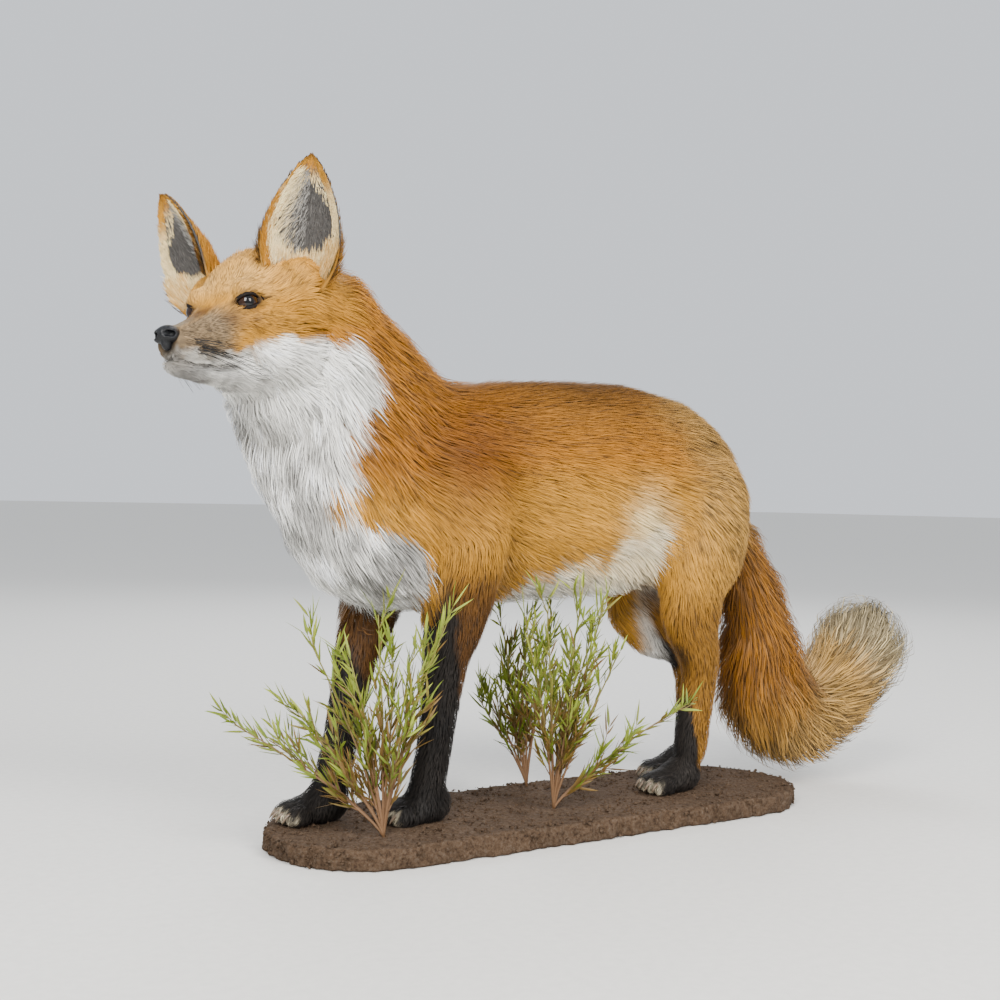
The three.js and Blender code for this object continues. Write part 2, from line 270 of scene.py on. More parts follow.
# ---- how the coat lies ----
# Each guide is [place, way the hair lies, hair length, loft, reach]: loft is how high the tips stand off
# the skin, and reach is how far the guide is felt. Body guides are given for the left side.
BODY_COMB = {
    "neck": [
        ((-218, 7, 458), (0.75, 0, -0.65), 26, 11, 26),
        ((-183, 7, 430), (0.70, 0, -0.75), 34, 13, 30),
        ((-150, 7, 400), (0.80, 0, -0.55), 34, 12, 30),
        ((-215, -50, 405), (0.55, 0, -0.85), 34, 13, 30),
        ((-250, -55, 380), (0.45, -0.1, -0.90), 34, 12, 26),
        ((-190, -56, 350), (0.70, 0, -0.70), 34, 13, 32),
        ((-225, -54, 320), (0.50, 0, -0.90), 34, 12, 30),
    ],
    "breast": [
        ((-300, 7, 370), (0.10, 0, -1.00), 26, 10, 26),
        ((-285, -35, 350), (0.25, -0.1, -1.00), 32, 11, 30),
        ((-268, 7, 315), (0.25, 0, -1.00), 38, 12, 30),
        ((-245, -35, 290), (0.40, -0.1, -0.95), 38, 12, 30),
        ((-240, 7, 250), (0.50, 0, -0.90), 38, 11, 30),
        ((-205, -44, 255), (0.65, 0, -0.75), 36, 12, 28),
        ((-190, 7, 205), (0.75, 0, -0.65), 34, 10, 30),
        ((-165, -36, 218), (0.70, 0, -0.70), 30, 10, 22),
    ],
    "back": [
        ((-105, 7, 390), (1, 0, -0.12), 30, 10, 34),
        ((-40, 7, 396), (1, 0, -0.06), 28, 9, 40),
        ((40, 7, 399), (1, 0, -0.06), 26, 9, 40),
        ((110, 7, 394), (1, 0, -0.22), 26, 9, 36),
        ((168, 7, 368), (0.75, 0, -0.65), 26, 9, 30),
    ],
    "flank": [
        ((-120, -52, 345), (1, 0, -0.45), 32, 11, 34),
        ((-40, -54, 350), (1, 0, -0.16), 30, 10, 40),
        ((50, -52, 350), (1, 0, -0.14), 28, 10, 40),
        ((-135, -54, 300), (0.80, 0, -0.60), 28, 9, 28),
        ((-60, -58, 290), (1, 0, -0.40), 30, 10, 34),
        ((15, -58, 285), (1, 0, -0.30), 30, 10, 36),
        ((80, -55, 290), (1, 0, -0.35), 28, 10, 30),
    ],
    "hip": [
        ((125, -48, 345), (0.95, 0, -0.35), 26, 9, 32),
        ((185, -30, 330), (0.55, -0.1, -0.85), 26, 9, 26),
        ((135, -50, 290), (0.75, 0, -0.70), 22, 8, 30),
        ((185, -40, 275), (0.45, 0, -0.90), 24, 9, 28),
        ((120, -48, 245), (0.35, 0, -0.95), 20, 7, 26),
        ((165, -46, 235), (0.55, 0, -0.85), 22, 8, 26),
    ],
    "belly": [
        ((-70, -30, 212), (0.75, 0, -0.60), 32, 12, 28),
        ((-10, -34, 208), (0.80, 0, -0.55), 32, 13, 30),
        ((50, -34, 205), (0.75, 0, -0.65), 34, 14, 30),
        ((-60, 7, 196), (0.85, 0, -0.40), 30, 12, 30),
        ((10, 7, 192), (0.85, 0, -0.45), 32, 13, 30),
        ((75, 7, 200), (0.80, 0, -0.60), 34, 14, 30),
    ],
}
HEAD_COMB = {
    "face": [
        ((66, 5, -21), (-1, 0.15, 0.05), 3.5, 1.0, 12),
        ((44, 6, -13), (-1, 0.15, 0.15), 4.5, 1.3, 13),
        ((22, 6, -1), (-0.9, 0.15, 0.45), 6, 1.7, 13),
        ((66, 9, -32), (-1, 0.35, -0.15), 4, 1.2, 12),
        ((42, 15, -29), (-1, 0.3, -0.10), 5, 1.5, 13),
        ((60, 9, -52), (-1, 0.1, -0.10), 7, 2.0, 12),
        ((30, 13, -54), (-1, 0.2, -0.10), 9, 3.0, 14),
        ((24, 22, -20), (-1, 0.4, -0.12), 6, 1.8, 13),
        ((20, 17, -42), (-1, 0.4, -0.20), 8, 2.6, 13),
        ((4, 30, -16), (-1, 0.4, -0.15), 8, 2.2, 13),
        ((14, 12, 8), (-0.85, 0.2, 0.5), 7, 1.9, 13),
        ((-2, 22, 14), (-0.9, 0.5, 0.4), 7, 1.9, 13),
        ((-10, 34, 0), (-1, 0.3, 0.0), 8, 2.3, 13),
    ],
    "crown": [
        ((-10, 8, 30), (-0.8, 0.15, 0.55), 12, 5, 16),
        ((-38, 8, 42), (-1, 0.25, 0.15), 17, 8.5, 18),
        ((-26, 34, 14), (-0.9, 0.2, 0.4), 13, 4.6, 16),
        ((-52, 44, 2), (-1, 0.1, -0.25), 20, 8, 18),
        ((-70, 30, 26), (-0.95, 0, -0.3), 30, 11, 20),
        ((-84, 5, 32), (-1, 0, -0.35), 30, 11, 22),
    ],
    "cheek": [
        ((-12, 36, -24), (-1, 0.35, -0.20), 13, 4.5, 15),
        ((-8, 24, -46), (-1, 0.25, -0.35), 15, 5.5, 15),
        ((-40, 44, -22), (-1, 0.25, -0.30), 22, 9, 18),
        ((-44, 36, -48), (-0.95, 0.2, -0.55), 27, 11, 20),
        ((-10, 6, -60), (-1, 0, -0.25), 16, 6, 18),
        ((-44, 8, -62), (-0.9, 0, -0.6), 24, 9, 20),
        ((-72, 44, -20), (-0.9, 0.1, -0.6), 28, 11, 20),
    ],
}
# The tail's core: [place on its spine, way it runs, length of its hair, loft, reach].
TAIL_COMB = [
    ((192, 7, 292), (0.55, 0, -0.85), 28, 9, 20),
    ((220, 7, 254), (0.55, 0, -0.85), 34, 12, 22),
    ((246, 8, 208), (0.4, 0, -0.95), 40, 16, 26),
    ((262, 11, 156), (0.25, 0, -1), 46, 20, 28),
    ((274, 15, 108), (0.3, 0, -0.95), 50, 24, 28),
    ((296, 19, 76), (0.75, 0, -0.65), 50, 26, 26),
    ((340, 19, 72), (1, 0, 0.2), 48, 24, 28),
    ((380, 15, 98), (0.75, 0, 0.75), 48, 23, 26),
    ((408, 9, 136), (0.45, 0, 0.95), 50, 23, 26),
    ((424, 3, 172), (0.35, 0, 1), 50, 22, 22),
]
TAIL_SPINE = rows(*(line[0] for line in TAIL_COMB))
# Each leg's middle line from the elbow or knee down: the hair gets shorter towards the paw.
LEG_LINES = {
    "front_left": [(-120, -44, 240), (-122, -34, 198), (-127, -25, 155), (-133, -17, 80), (-141, -14, 36)],
    "front_right": [(-154, 54, 240), (-160, 44, 196), (-180, 37, 152), (-196, 31, 80), (-208, 30, 36)],
    "hind_left": [(122, -42, 200), (140, -32, 160), (154, -25, 130), (151, -20, 80), (147, -18, 40)],
    "hind_right": [(148, 50, 196), (172, 42, 162), (192, 36, 132), (192, 32, 80), (189, 30, 40)],
}
LEG_HAIR = [(18, 6.0), (14, 4.6), (12, 3.6), (10, 3.0), (8, 2.6)]
LEG_REACH = 24


def guides():
    """All guides, as rows of place, way, length, loft and reach, and the region that each belongs to."""
    table, regions = [], []

    def add(region, place, lie, length, loft, reach):
        table.append([*place, *unit(lie), length, loft, reach])
        regions.append(region)

    for region, lines in BODY_COMB.items():
        for (x, y, z), (dx, dy, dz), *rest in lines:
            add(region, (x, y, z), (dx, dy, dz), *rest)
            if y != MID:
                add(region, (x, 2 * MID - y, z), (dx, -dy, dz), *rest)
    for region, lines in HEAD_COMB.items():
        for (x, y, z), (dx, dy, dz), *rest in lines:
            for hand in (1, -1):
                add(region, from_head((x, hand * y, z)), HEAD_TURN @ rows(dx, hand * dy, dz), *rest)
    for line in TAIL_COMB:
        add("tail", *line)
    for line in LEG_LINES.values():
        for k, place in enumerate(line):
            ahead = rows(*line[min(k + 1, len(line) - 1)]) - rows(*line[max(k - 1, 0)])
            add("leg", place, ahead, *LEG_HAIR[k], LEG_REACH)
        foot = rows(*line[-1]) + rows(-24, 0, -12)
        add("leg", foot, (-0.9, 0, -0.5), 6, 1.8, 12)
    return np.array(table), np.array(regions)


GUIDES, GUIDE_REGIONS = guides()
BATCH = 20000  # places worked on at a time


def combed(p):
    """The hair's way, length and loft at each place, and the region whose guide is felt most."""
    flat = np.reshape(p, (-1, 3))
    way, size = np.zeros((len(flat), 3)), np.zeros((len(flat), 2))
    nearest = np.zeros(len(flat), int)
    for start in range(0, len(flat), BATCH):
        part = slice(start, start + BATCH)
        away = np.linalg.norm(flat[part, None] - GUIDES[None, :, :3], axis=-1) / GUIDES[:, 8]
        share = np.exp(-2.2 * (away - away.min(1, keepdims=True)) * (1 + away)) + 1e-12
        nearest[part] = away.argmin(1)
        share /= share.sum(1, keepdims=True)
        way[part] = share @ GUIDES[:, 3:6]
        size[part] = share @ GUIDES[:, 6:8]
    shape = np.shape(p)[:-1]
    way = unit(way).reshape(*shape, 3)
    return way, size[:, 0].reshape(shape), size[:, 1].reshape(shape), nearest.reshape(shape)


def stretched(values, shape):
    """Straight-line enlargement of a coarse array to a finer shape that spans the same room."""
    for axis, size in enumerate(shape):
        place = np.linspace(0, values.shape[axis] - 1, size)
        low = np.minimum(place.astype(int), values.shape[axis] - 2)
        share = (place - low).reshape([-1 if a == axis else 1 for a in range(3)])
        values = np.take(values, low, axis) * (1 - share) + np.take(values, low + 1, axis) * share
    return values


# ---- the head under its coat, in the head's frame ----
SKULL_LINE = [
    (-100, -6, 24, 24, 26),
    (-80, 0, 33, 33, 32),
    (-60, 2, 38, 39, 34),
    (-38, 2, 39, 42, 36),
    (-14, 0, 34, 34, 32),
    (4, -6, 26, 21.5, 33),
    (13, -12, 22, 18, 31),
    (23, -18, 18.5, 17, 27),
    (34, -23, 16, 15, 23),
    (48, -27, 13.5, 13.2, 19),
    (62, -29.5, 11.3, 10.8, 16),
    (74, -31, 8.8, 9.2, 11.5),
]
JAW_LINE = [
    (-46, -44, 19, 12, 13),
    (-14, -46, 16.5, 11, 12),
    (18, -49, 12.5, 8, 8.5),
    (44, -49.5, 9.6, 6, 6.6),
    (64, -49, 7.6, 4.6, 5.4),
    (75, -47.5, 5.2, 3.6, 4),
]
MOUTH_LINE = rows((20, -47), (34, -48.5), (61, -47), (75, -43.2), (80, -41))  # [x, z]
SLIT = {"half": 11.0, "high": 4.1, "slant": 0.20}  # the open eye, on the ball
LID_RADIUS = 10.9


def eye_axes(hand):
    """The eye's middle and its frame: out of the eye, towards the nose along the slit, and up."""
    middle = rows(EYE_AHEAD, hand * EYE_APART / 2, EYE_RISE)
    out = unit(rows(0.65, hand * 0.75, 0.08))
    along = unit(rows(0.75, -hand * 0.65, -SLIT["slant"]))
    along = unit(along - out * (along @ out))
    up = np.cross(out, along) * hand
    return middle, out, along, up * np.sign(up[2])


def slit_reach(along):
    """Half the height of the open eye, at each place along it."""
    share = np.clip(np.abs(along) / SLIT["half"], 0, 1)
    return SLIT["high"] * (1 - share**2.2)


def read_line(line, along):
    """A line's second column, read at places along its first."""
    return np.interp(along, line[:, 0], line[:, 1])


def head_solid(q):
    side = mirrored(q)
    made = tube(q, SKULL_LINE)
    made = melt(made, ellipsoid(side, (-14, 28, -12), (26, 10, 11)), 9)  # cheekbone
    made = melt(made, ellipsoid(side, (-34, 24, -27), (34, 18, 24)), 10)  # chewing muscle
    made = melt(made, ellipsoid(side, (-3, 20, 10.5), (14, 8, 6.5)), 7)  # brow
    made = melt(made, ellipsoid(side, (-48, 40, 13), (22, 18, 22)), 12)  # root of the ear
    made = melt(made, ellipsoid(side, (60, 7, -34.5), (14, 5.5, 6.5)), 4)  # whisker pad
    made = carve(made, ellipsoid(side, (27, 0, 6), (15, 7, 8)), 9)  # stop between the eyes
    made = carve(made, ellipsoid(side, (14, 31, -4), (10, 6, 8)), 8)  # hollow before the eye
    made = melt(made, tube(q, JAW_LINE), 4.5)
    made = melt(made, ellipsoid(side, (-64, 0, -64), (28, 30, 22)), 12)  # throat
    groove = np.maximum(np.abs(q[..., 2] - read_line(MOUTH_LINE, q[..., 0])) - 0.9, 26 - q[..., 0])
    made = carve(made, np.maximum(groove, -made - 2.0), 1.6)
    for hand in (1, -1):
        middle, out, along, up = eye_axes(hand)
        offset = q - middle
        made = melt(made, np.linalg.norm(offset, axis=-1) - LID_RADIUS, 3.5)
        depth, run, rise = offset @ out, offset @ along, offset @ up
        opening = np.maximum(np.abs(rise) - slit_reach(run) - 0.6, np.abs(run) - SLIT["half"])
        made = carve(made, np.maximum(opening, 3.0 - depth), 1.0)
    return made


# ---- paws, in the row frame ----
TOE_SPREAD = (-12.2, -4.3, 4.3, 12.2)
TOE_SIZE = (11.0, 5.0, 7.6)
PAWS = [n for n in FLESH if n.startswith("paw_")]


def toe_places(name):
    low, high = box_of(name)
    middle = (low[1] + high[1]) / 2
    for offset in TOE_SPREAD:
        forward = 6 * (1 - math.cos(offset / 12.5))
        yield rows(low[0] + TOE_SIZE[0] + 1.5 + forward, middle + offset, SOIL + 8.4)


def paw_solid(p, name):
    low, high = box_of(name)
    middle = (low[1] + high[1]) / 2
    made = ellipsoid(p, (low[0] + 30, middle, SOIL + 10.5), (23, 14.5, 10.5))
    made = melt(made, ellipsoid(p, (low[0] + 44, middle, SOIL + 15), (18, 13.5, 15)), 6)
    for place in toe_places(name):
        made = melt(made, ellipsoid(p, place, TOE_SIZE), 1.6)
        made = melt(made, ellipsoid(p, place + rows(-6, 0, -1.6), (5.5, 4.3, 5.2)), 2)
    return made


# ---- the skin: body, head, paws and ears joined in one ----
HEAD_ROOM = (-104, -62, -98), (88, 62, 56)  # corners of the head's grid, in its own frame
PAW_ROOM = 4, rows(4, 4, 34)  # how far a paw's grid reaches past its box, below and above
FINE_CELL = 1.3  # size of a cell in the head's and the paws' grids
NECK_BLEND = 16  # softness of the join between head and neck


def skin_solids():
    """The body on a coarse grid, and the head and paws on finer ones that dip under it at their ends."""
    envelope = flesh_envelope()
    low, cell = envelope.low, envelope.cell
    shape = envelope.values.shape
    high = low + cell * (np.array(shape) - 1)
    firm = softened(envelope.values, 0.9)
    soft = softened(envelope.values, 2.0)
    places = grid_points(low, high - cell * 0.5, cell)[: shape[0], : shape[1], : shape[2]]
    on_leg = step(215, 175, places[..., 2]) * (places[..., 0] < 225)
    coarse = [np.linspace(a, b, n // 4) for a, b, n in zip(low, high, shape)]
    _, _, loft, _ = combed(np.stack(np.meshgrid(*coarse, indexing="ij"), -1))
    flesh = mix(soft, firm, on_leg) + stretched(loft, shape)
    flesh = np.maximum(flesh, SOIL + 0.6 - places[..., 2])
    q = to_head(places)
    body = Solid(low, cell, np.maximum(flesh, q[..., 0] + 62))
    near = np.linalg.norm(q + rows(60, 0, 0), axis=-1) < 90
    values = body.values.copy()
    rear = np.maximum(head_solid(q[near]) + 1.0, q[near][:, 0] + 50)
    values[near] = melt(values[near], rear, NECK_BLEND)
    solids = [("body", Solid(low, cell, values))]
    points = grid_points(*HEAD_ROOM, FINE_CELL)
    neck = body.at(from_head(points))
    head = melt(head_solid(points), neck + 1.5, NECK_BLEND) + 6 * step(-74, -98, points[..., 0])
    head = np.maximum(head, HEAD_ROOM[0][0] + 3 - points[..., 0])
    solids.append(("head", Solid(HEAD_ROOM[0], FINE_CELL, head)))
    for name in PAWS:
        lower, upper = box_of(name)
        lower, upper = lower - PAW_ROOM[0], upper + PAW_ROOM[1]
        lower[2] = SOIL - 3
        points = grid_points(lower, upper, FINE_CELL)
        height = points[..., 2]
        leg = Solid(low, cell, flesh).at(points)
        leg = leg + 15 * step(lower[0] + 26, lower[0] + 14, points[..., 0])
        dive = 4 * step(upper[2] - 22, upper[2] - 4, height)
        made = melt(paw_solid(points, name), leg, 5) + dive
        made = np.maximum(made, np.maximum(SOIL + 0.5 - height, height - upper[2] + 3))
        solids.append((name, Solid(lower, FINE_CELL, made)))
    return solids


# ---- meshes ----
def mesh_piece(name, points, faces, smooth=True):
    """A piece from points in millimetres and faces as a list of arrays, each with its own corner count."""
    faces = [np.asarray(f, np.int32) for f in faces if len(f)]
    mesh = bpy.data.meshes.new(name)
    mesh.vertices.add(len(points))
    mesh.vertices.foreach_set("co", (np.asarray(points) * MM).astype(np.float32).ravel())
    counts = np.concatenate([np.full(len(f), f.shape[1], np.int32) for f in faces])
    corners = np.concatenate([f.ravel() for f in faces])
    mesh.loops.add(len(corners))
    mesh.loops.foreach_set("vertex_index", corners)
    mesh.polygons.add(len(counts))
    starts = np.concatenate([[0], np.cumsum(counts)[:-1]]).astype(np.int32)
    mesh.polygons.foreach_set("loop_start", starts)
    mesh.polygons.foreach_set("loop_total", counts)
    mesh.polygons.foreach_set("use_smooth", np.full(len(counts), smooth))
    mesh.update(calc_edges=True)
    mesh.validate()
    piece = bpy.data.objects.new(name, mesh)
    bpy.context.scene.collection.objects.link(piece)
    return piece


def points_of(piece):
    co = np.zeros(len(piece.data.vertices) * 3, np.float32)
    piece.data.vertices.foreach_get("co", co)
    return co.reshape(-1, 3).astype(float) / MM


def triangles_of(piece):
    piece.data.calc_loop_triangles()
    corners = np.zeros(len(piece.data.loop_triangles) * 3, np.int32)
    piece.data.loop_triangles.foreach_get("vertices", corners)
    return corners.reshape(-1, 3)


def joined(name, pieces):
    """One closed piece out of several overlapping ones."""
    whole = pieces[0]
    for other in pieces[1:]:
        tool = whole.modifiers.new("join", "BOOLEAN")
        tool.operation, tool.solver, tool.object = "UNION", "MANIFOLD", other
    graph = bpy.context.evaluated_depsgraph_get()
    mesh = bpy.data.meshes.new_from_object(whole.evaluated_get(graph))
    for piece in pieces:
        bpy.data.objects.remove(piece)
    mesh.name = name
    made = bpy.data.objects.new(name, mesh)
    bpy.context.scene.collection.objects.link(made)
    return made


# ---- ears: a leaf rolled into a cup; u runs across it and v from base to tip ----
EAR = {"height": 90, "width": 33, "thick": 4.4, "root": (-39, 43, 22), "turn": 24, "back": -3}
EAR_LEAN = {"left": 13, "right": 19}
EAR_SIDES = {"left": 1, "right": -1}
EAR_BACK, EAR_CUP = 0.5, -0.5  # the ear's two faces


def turned(axis, degrees):
    c, s = math.cos(math.radians(degrees)), math.sin(math.radians(degrees))
    i, j = [(1, 2), (2, 0), (0, 1)][axis]
    made = np.eye(3)
    made[i, i] = made[j, j] = c
    made[i, j], made[j, i] = -s, s
    return made


def ear_point(side, u, v, face, trim=0.0):
    """A place on the ear in the head's frame: face runs from EAR_CUP to EAR_BACK through the ear."""
    hand = EAR_SIDES[side]
    pinch = 1 - 0.28 * (1 - v) ** 4
    rise = np.clip(v, 0, 1)
    chord = EAR["width"] * pinch * (1 - rise**1.8) ** 0.75 + 2.5 - trim
    wrap = 1.25 + (0.6 - 1.25) * v
    middle = chord / np.sin(wrap)
    thick = EAR["thick"] * (1.3 - 0.7 * v) - 1.6 * trim
    radius = middle + face * thick * (1 - 0.45 * np.abs(u) ** 3)
    x = middle * np.cos(wrap * 0.6) - radius * np.cos(u * wrap) + 5 * v * v
    place = np.stack([x, radius * np.sin(u * wrap), v * EAR["height"]], -1)
    lean = turned(0, -hand * EAR_LEAN[side]) @ turned(1, EAR["back"]) @ turned(2, hand * EAR["turn"])
    return place @ lean.T + rows(EAR["root"][0], hand * EAR["root"][1], EAR["root"][2])


EAR_TRIM = 1.1  # the skin's ear is smaller than the furred one by this much


def ear_skin(side, across=18, along=44):
    u = np.linspace(-1, 1, across)
    u = np.concatenate([u, u[::-1]])
    face = np.repeat([EAR_BACK, EAR_CUP], across)
    levels = np.linspace(-0.12, 0.985, along)
    points = np.concatenate([ear_point(side, u, np.full(len(u), v), face, EAR_TRIM) for v in levels])
    ring = np.arange(2 * across)
    after = np.roll(ring, -1)
    base = (np.arange(along - 1) * 2 * across)[:, None]
    walls = np.stack([base + ring, base + after, base + after + 2 * across, base + ring + 2 * across], -1)
    walls = walls.reshape(-1, 4)
    cap = np.stack([ring[: across - 1], ring[1:across], 2 * across - 2 - ring[: across - 1]], -1)
    cap = np.column_stack([cap, 2 * across - 1 - ring[: across - 1]])
    top = cap + (along - 1) * 2 * across
    faces = [walls, cap[:, ::-1], top]
    points = from_head(points)
    a, b, c, _ = np.moveaxis(points[walls], 1, 0)
    inside_out = np.einsum("ij,ij->", a, np.cross(b - a, c - a)) < 0
    if inside_out:
        faces = [f[:, ::-1] for f in faces]
    return mesh_piece(f"ear_skin_{side}", points, faces)


def make_skin(solids):
    pieces = []
    for name, solid in solids:
        points, faces = solid.surface()
        if name == "head":
            points = from_head(points)
        pieces.append(mesh_piece(name, points, faces))
    pieces += [ear_skin(side) for side in EAR_SIDES]
    return joined("skin", pieces)


# ---- markings ----
def paint(code):
    """A colour written as sRGB hex, as linear light."""
    value = rows(*(int(code[k : k + 2], 16) for k in (1, 3, 5))) / 255
    return np.where(value > 0.04045, ((value + 0.055) / 1.055) ** 2.4, value / 12.92)


GOLD, ORANGE, RUST = paint("#b4802b"), paint("#9c6418"), paint("#7d4913")
BACK_BROWN, BUFF, UMBER = paint("#654319"), paint("#a07d42"), paint("#4c3117")
CREAM, WHITE, GREY, SLATE = paint("#ecd5a0"), paint("#f1efe8"), paint("#a3a19c"), paint("#63605d")
BLACK, SOOT = paint("#181615"), paint("#2b2622")
MUZZLE_GREY, TEAR_BROWN = paint("#7d705c"), paint("#4c3826")

# The white front's edge on the side of neck and shoulder: [height, X].
WHITE_EDGE = rows((180, -140), (213, -166), (249, -162), (268, -181), (278, -213), (288, -238),
                  (330, -236), (353, -232), (376, -222), (406, -230), (430, -250))
# The white cheek's upper edge in the head's frame: [x, z].
CHEEK_EDGE = rows((-95, -6), (-75, -14), (-60, -20), (-38, -26), (-16, -27), (8, -30), (24, -37), (44, -41),
                  (80, -40))
# The white belly's edge on the flank: [X, height].
BELLY_EDGE = rows((-120, 197), (-80, 216), (-40, 230), (0, 243), (30, 252), (52, 262), (64, 275), (76, 264),
                  (86, 215), (94, 150))

rough_edge = Cloud(15, 11)
fine_edge = Cloud(5, 12)
patches = Cloud(34, 13)


def spot(p, centre, radius):
    """A soft round patch on both sides of the body, 1 at its middle."""
    side = rows(*centre)
    side[1] = abs(side[1] - MID)
    place = np.stack([p[:, 0], np.abs(p[:, 1] - MID), p[:, 2]], -1)
    return np.exp(-((np.linalg.norm(place - side, axis=-1) / radius) ** 2))


def leg_middle(line, height):
    """X and Y of a leg's middle line at each height."""
    line = rows(*line)[::-1]
    return [np.interp(height, line[:, 2], line[:, axis]) for axis in (0, 1)]


def leg_place(p):
    """For each place: which leg is nearest, how far it lies ahead of that leg's middle, and how far off."""
    best, ahead, which = np.full(len(p), 1e9), np.zeros(len(p)), np.zeros(len(p), int)
    for k, line in enumerate(LEG_LINES.values()):
        x, y = leg_middle(line, p[:, 2])
        away = np.hypot(p[:, 0] - x, p[:, 1] - y)
        closer = away < best
        best[closer], ahead[closer], which[closer] = away[closer], (x - p[:, 0])[closer], k
    return which, ahead, best


def tail_place(p):
    """How far along the tail each place lies, from 0 at its root to 1 at its tip, and its distance off."""
    last = len(TAIL_SPINE) - 1
    best, along = np.full(len(p), 1e9), np.zeros(len(p))
    for k in range(last):
        start, run = TAIL_SPINE[k], TAIL_SPINE[k + 1] - TAIL_SPINE[k]
        t = np.clip((p - start) @ run / (run @ run), 0, 1)
        away = np.linalg.norm(p - start - t[:, None] * run, axis=-1)
        closer = away < best
        best[closer], along[closer] = away[closer], (k + t[closer]) / last
    return along, best


def left_half(p):
    """Places right of the neck's middle, brought across to its left side."""
    across = unit(mix(rows(0, -1, 0), HEAD_TURN[:, 1], step(300, 400, p[:, 2:])))
    middle = mix(rows(-190, MID, 0), rows(-272, 11, 0), step(330, 409, p[:, 2:]))
    beyond = np.minimum(((p - middle)[:, :2] * across[:, :2]).sum(-1), 0)
    return p - 2 * beyond[:, None] * across


def white_front(p, ragged):
    """The white of breast and throat, the same on both sides of the neck, up to the nape."""
    p = left_half(p)
    edge = read_line(WHITE_EDGE, p[:, 2])
    return step(5, -5, p[:, 0] - edge + ragged) * step(438, 418, p[:, 2])


def body_markings(p, ragged):
    """Colours of the body's hair at root, middle and tip, and the share of hairs with dark tips."""
    height = step(250, 400, p[:, 2])
    middle = tint(GOLD, ORANGE, step(0.15, 0.6, height))
    # The back's ridge and the shoulders go darker, with BACK_BROWN at 0.8 and RUST at 0.7: partly the coat's
    # own darker saddle, partly painted shade on the top and shoulders.
    ridge = step(350, 386, p[:, 2] - 0.08 * np.abs(p[:, 0])) * step(-150, -90, p[:, 0])
    middle = tint(middle, BACK_BROWN, 0.55 * step(315, 372, p[:, 2]) * step(-170, -110, p[:, 0]))
    middle = tint(middle, BACK_BROWN * 0.8, 0.95 * ridge)
    shoulder = 0.95 * spot(p, (-140, -50, 335), 62) + 0.3 * spot(p, (-225, -50, 340), 22)
    middle = tint(middle, RUST * 0.7, shoulder)
    hip = step(70, 150, p[:, 0] + 0.25 * (p[:, 2] - 300) + ragged)
    middle = tint(middle, BUFF, 0.75 * hip)
    middle = tint(middle, GOLD, 0.5 * spot(p, (150, -45, 225), 28))
    dark = 0.10 + 0.25 * step(375, 395, p[:, 2]) + 0.28 * hip
    root = tint(middle, GREY, 0.22)
    # The tips are a lighter copy of the middle colour: painted light on the coat's outer surface.
    tip = middle * 1.12
    front = white_front(p, ragged)
    belly_top = read_line(BELLY_EDGE, p[:, 0])
    belly = step(9, -9, p[:, 2] - belly_top + ragged) * step(-150, -120, p[:, 0]) * (p[:, 0] < 215)
    thigh = step(36, 24, np.abs(p[:, 1] - MID)) * step(236, 214, p[:, 2]) * step(60, 80, p[:, 0])
    cream = 0.9 * spot(p, (52, -46, 272), 24) * step(90, 78, p[:, 0])
    greyness = 0.75 * spot(p, (-186, -50, 248), 24) + 0.6 * spot(p, (-292, -30, 352), 26)
    greyness += 0.4 * step(0.0, 0.6, patches(p)) + 0.45 * thigh
    white = tint(WHITE, GREY, np.clip(greyness, 0, 0.8))
    white = tint(white, CREAM, 0.85 * step(205, 240, p[:, 2]) * step(-80, 0, p[:, 0]))
    gaps = 0.5 * step(0.2, 0.9, rough_edge(p * rows(1.4, 1.4, 0.6))) + 0.85 * spot(p, (-192, -38, 248), 30)
    white = tint(white, SLATE, np.clip(gaps, 0, 0.85) * front)
    pale = np.maximum(front, np.maximum(belly, thigh * step(200, 170, p[:, 0])))
    middle = tint(tint(middle, CREAM, cream), white, pale)
    tip = tint(tint(tip, CREAM, cream), tint(white, WHITE, 0.35), pale)
    # Under the chin the pale roots are lifted towards white: painted light in the crease between chin and
    # neck.
    throat = step(335, 350, p[:, 2]) * step(-240, -255, p[:, 0])
    root = tint(root, tint(tint(SLATE, GREY, 0.5), WHITE, 0.8 * throat), pale)
    dark = mix(dark, 0.05 + 0.25 * np.clip(greyness, 0, 1), np.maximum(pale, cream))
    return root, middle, tip, dark


def leg_markings(p, root, middle, tip, dark, ragged):
    """The black stockings, the brown above them and the pale toe tips."""
    which, ahead, away = leg_place(p)
    front = which < 2
    on_leg = step(36, 24, away) * step(262, 215, p[:, 2])
    on_leg = np.where(front, on_leg, on_leg * step(230, 185, p[:, 2]))
    on_leg = np.maximum(on_leg, step(62, 50, p[:, 2]) * (p[:, 0] < 200))
    brown = tint(BACK_BROWN, UMBER, step(235, 180, p[:, 2] + ragged) * np.where(front, 0.8, 0.15))
    brown = tint(brown, GOLD, np.where(front, 0, 0.35))
    top = np.where(front, np.where(which == 0, 160 + 3.2 * ahead, 146 + 1.2 * ahead), 44 + 5.2 * ahead)
    top = np.clip(top, np.where(front, 130, 40), np.where(front, 232, 165))
    black = step(10, -10, p[:, 2] - top + ragged * 0.8)
    shade = tint(brown, tint(BLACK, SOOT, 0.4 + 0.3 * patches(p)), black)
    toes, uneven, pale = step(38, 31, p[:, 2]) * black, 0.3 * fine_edge(p), tint(CREAM, GREY, 0.6)
    for name in PAWS:
        for place in toe_places(name):
            tiptoe = np.linalg.norm((p - place - rows(-7, 0, -2)) / rows(8, 4.2, 7), axis=-1)
            shade = tint(shade, pale, 0.85 * step(1.2, 0.6, tiptoe + uneven) * toes)
    middle = tint(middle, shade, on_leg)
    # Roots take a darker copy of the leg's colour and tips a lighter one: painted shade deep in the coat and
    # painted light on its surface.
    return tint(root, shade * 0.8, on_leg), middle, tint(tip, shade * 1.15, on_leg), mix(dark, 0.2, on_leg)


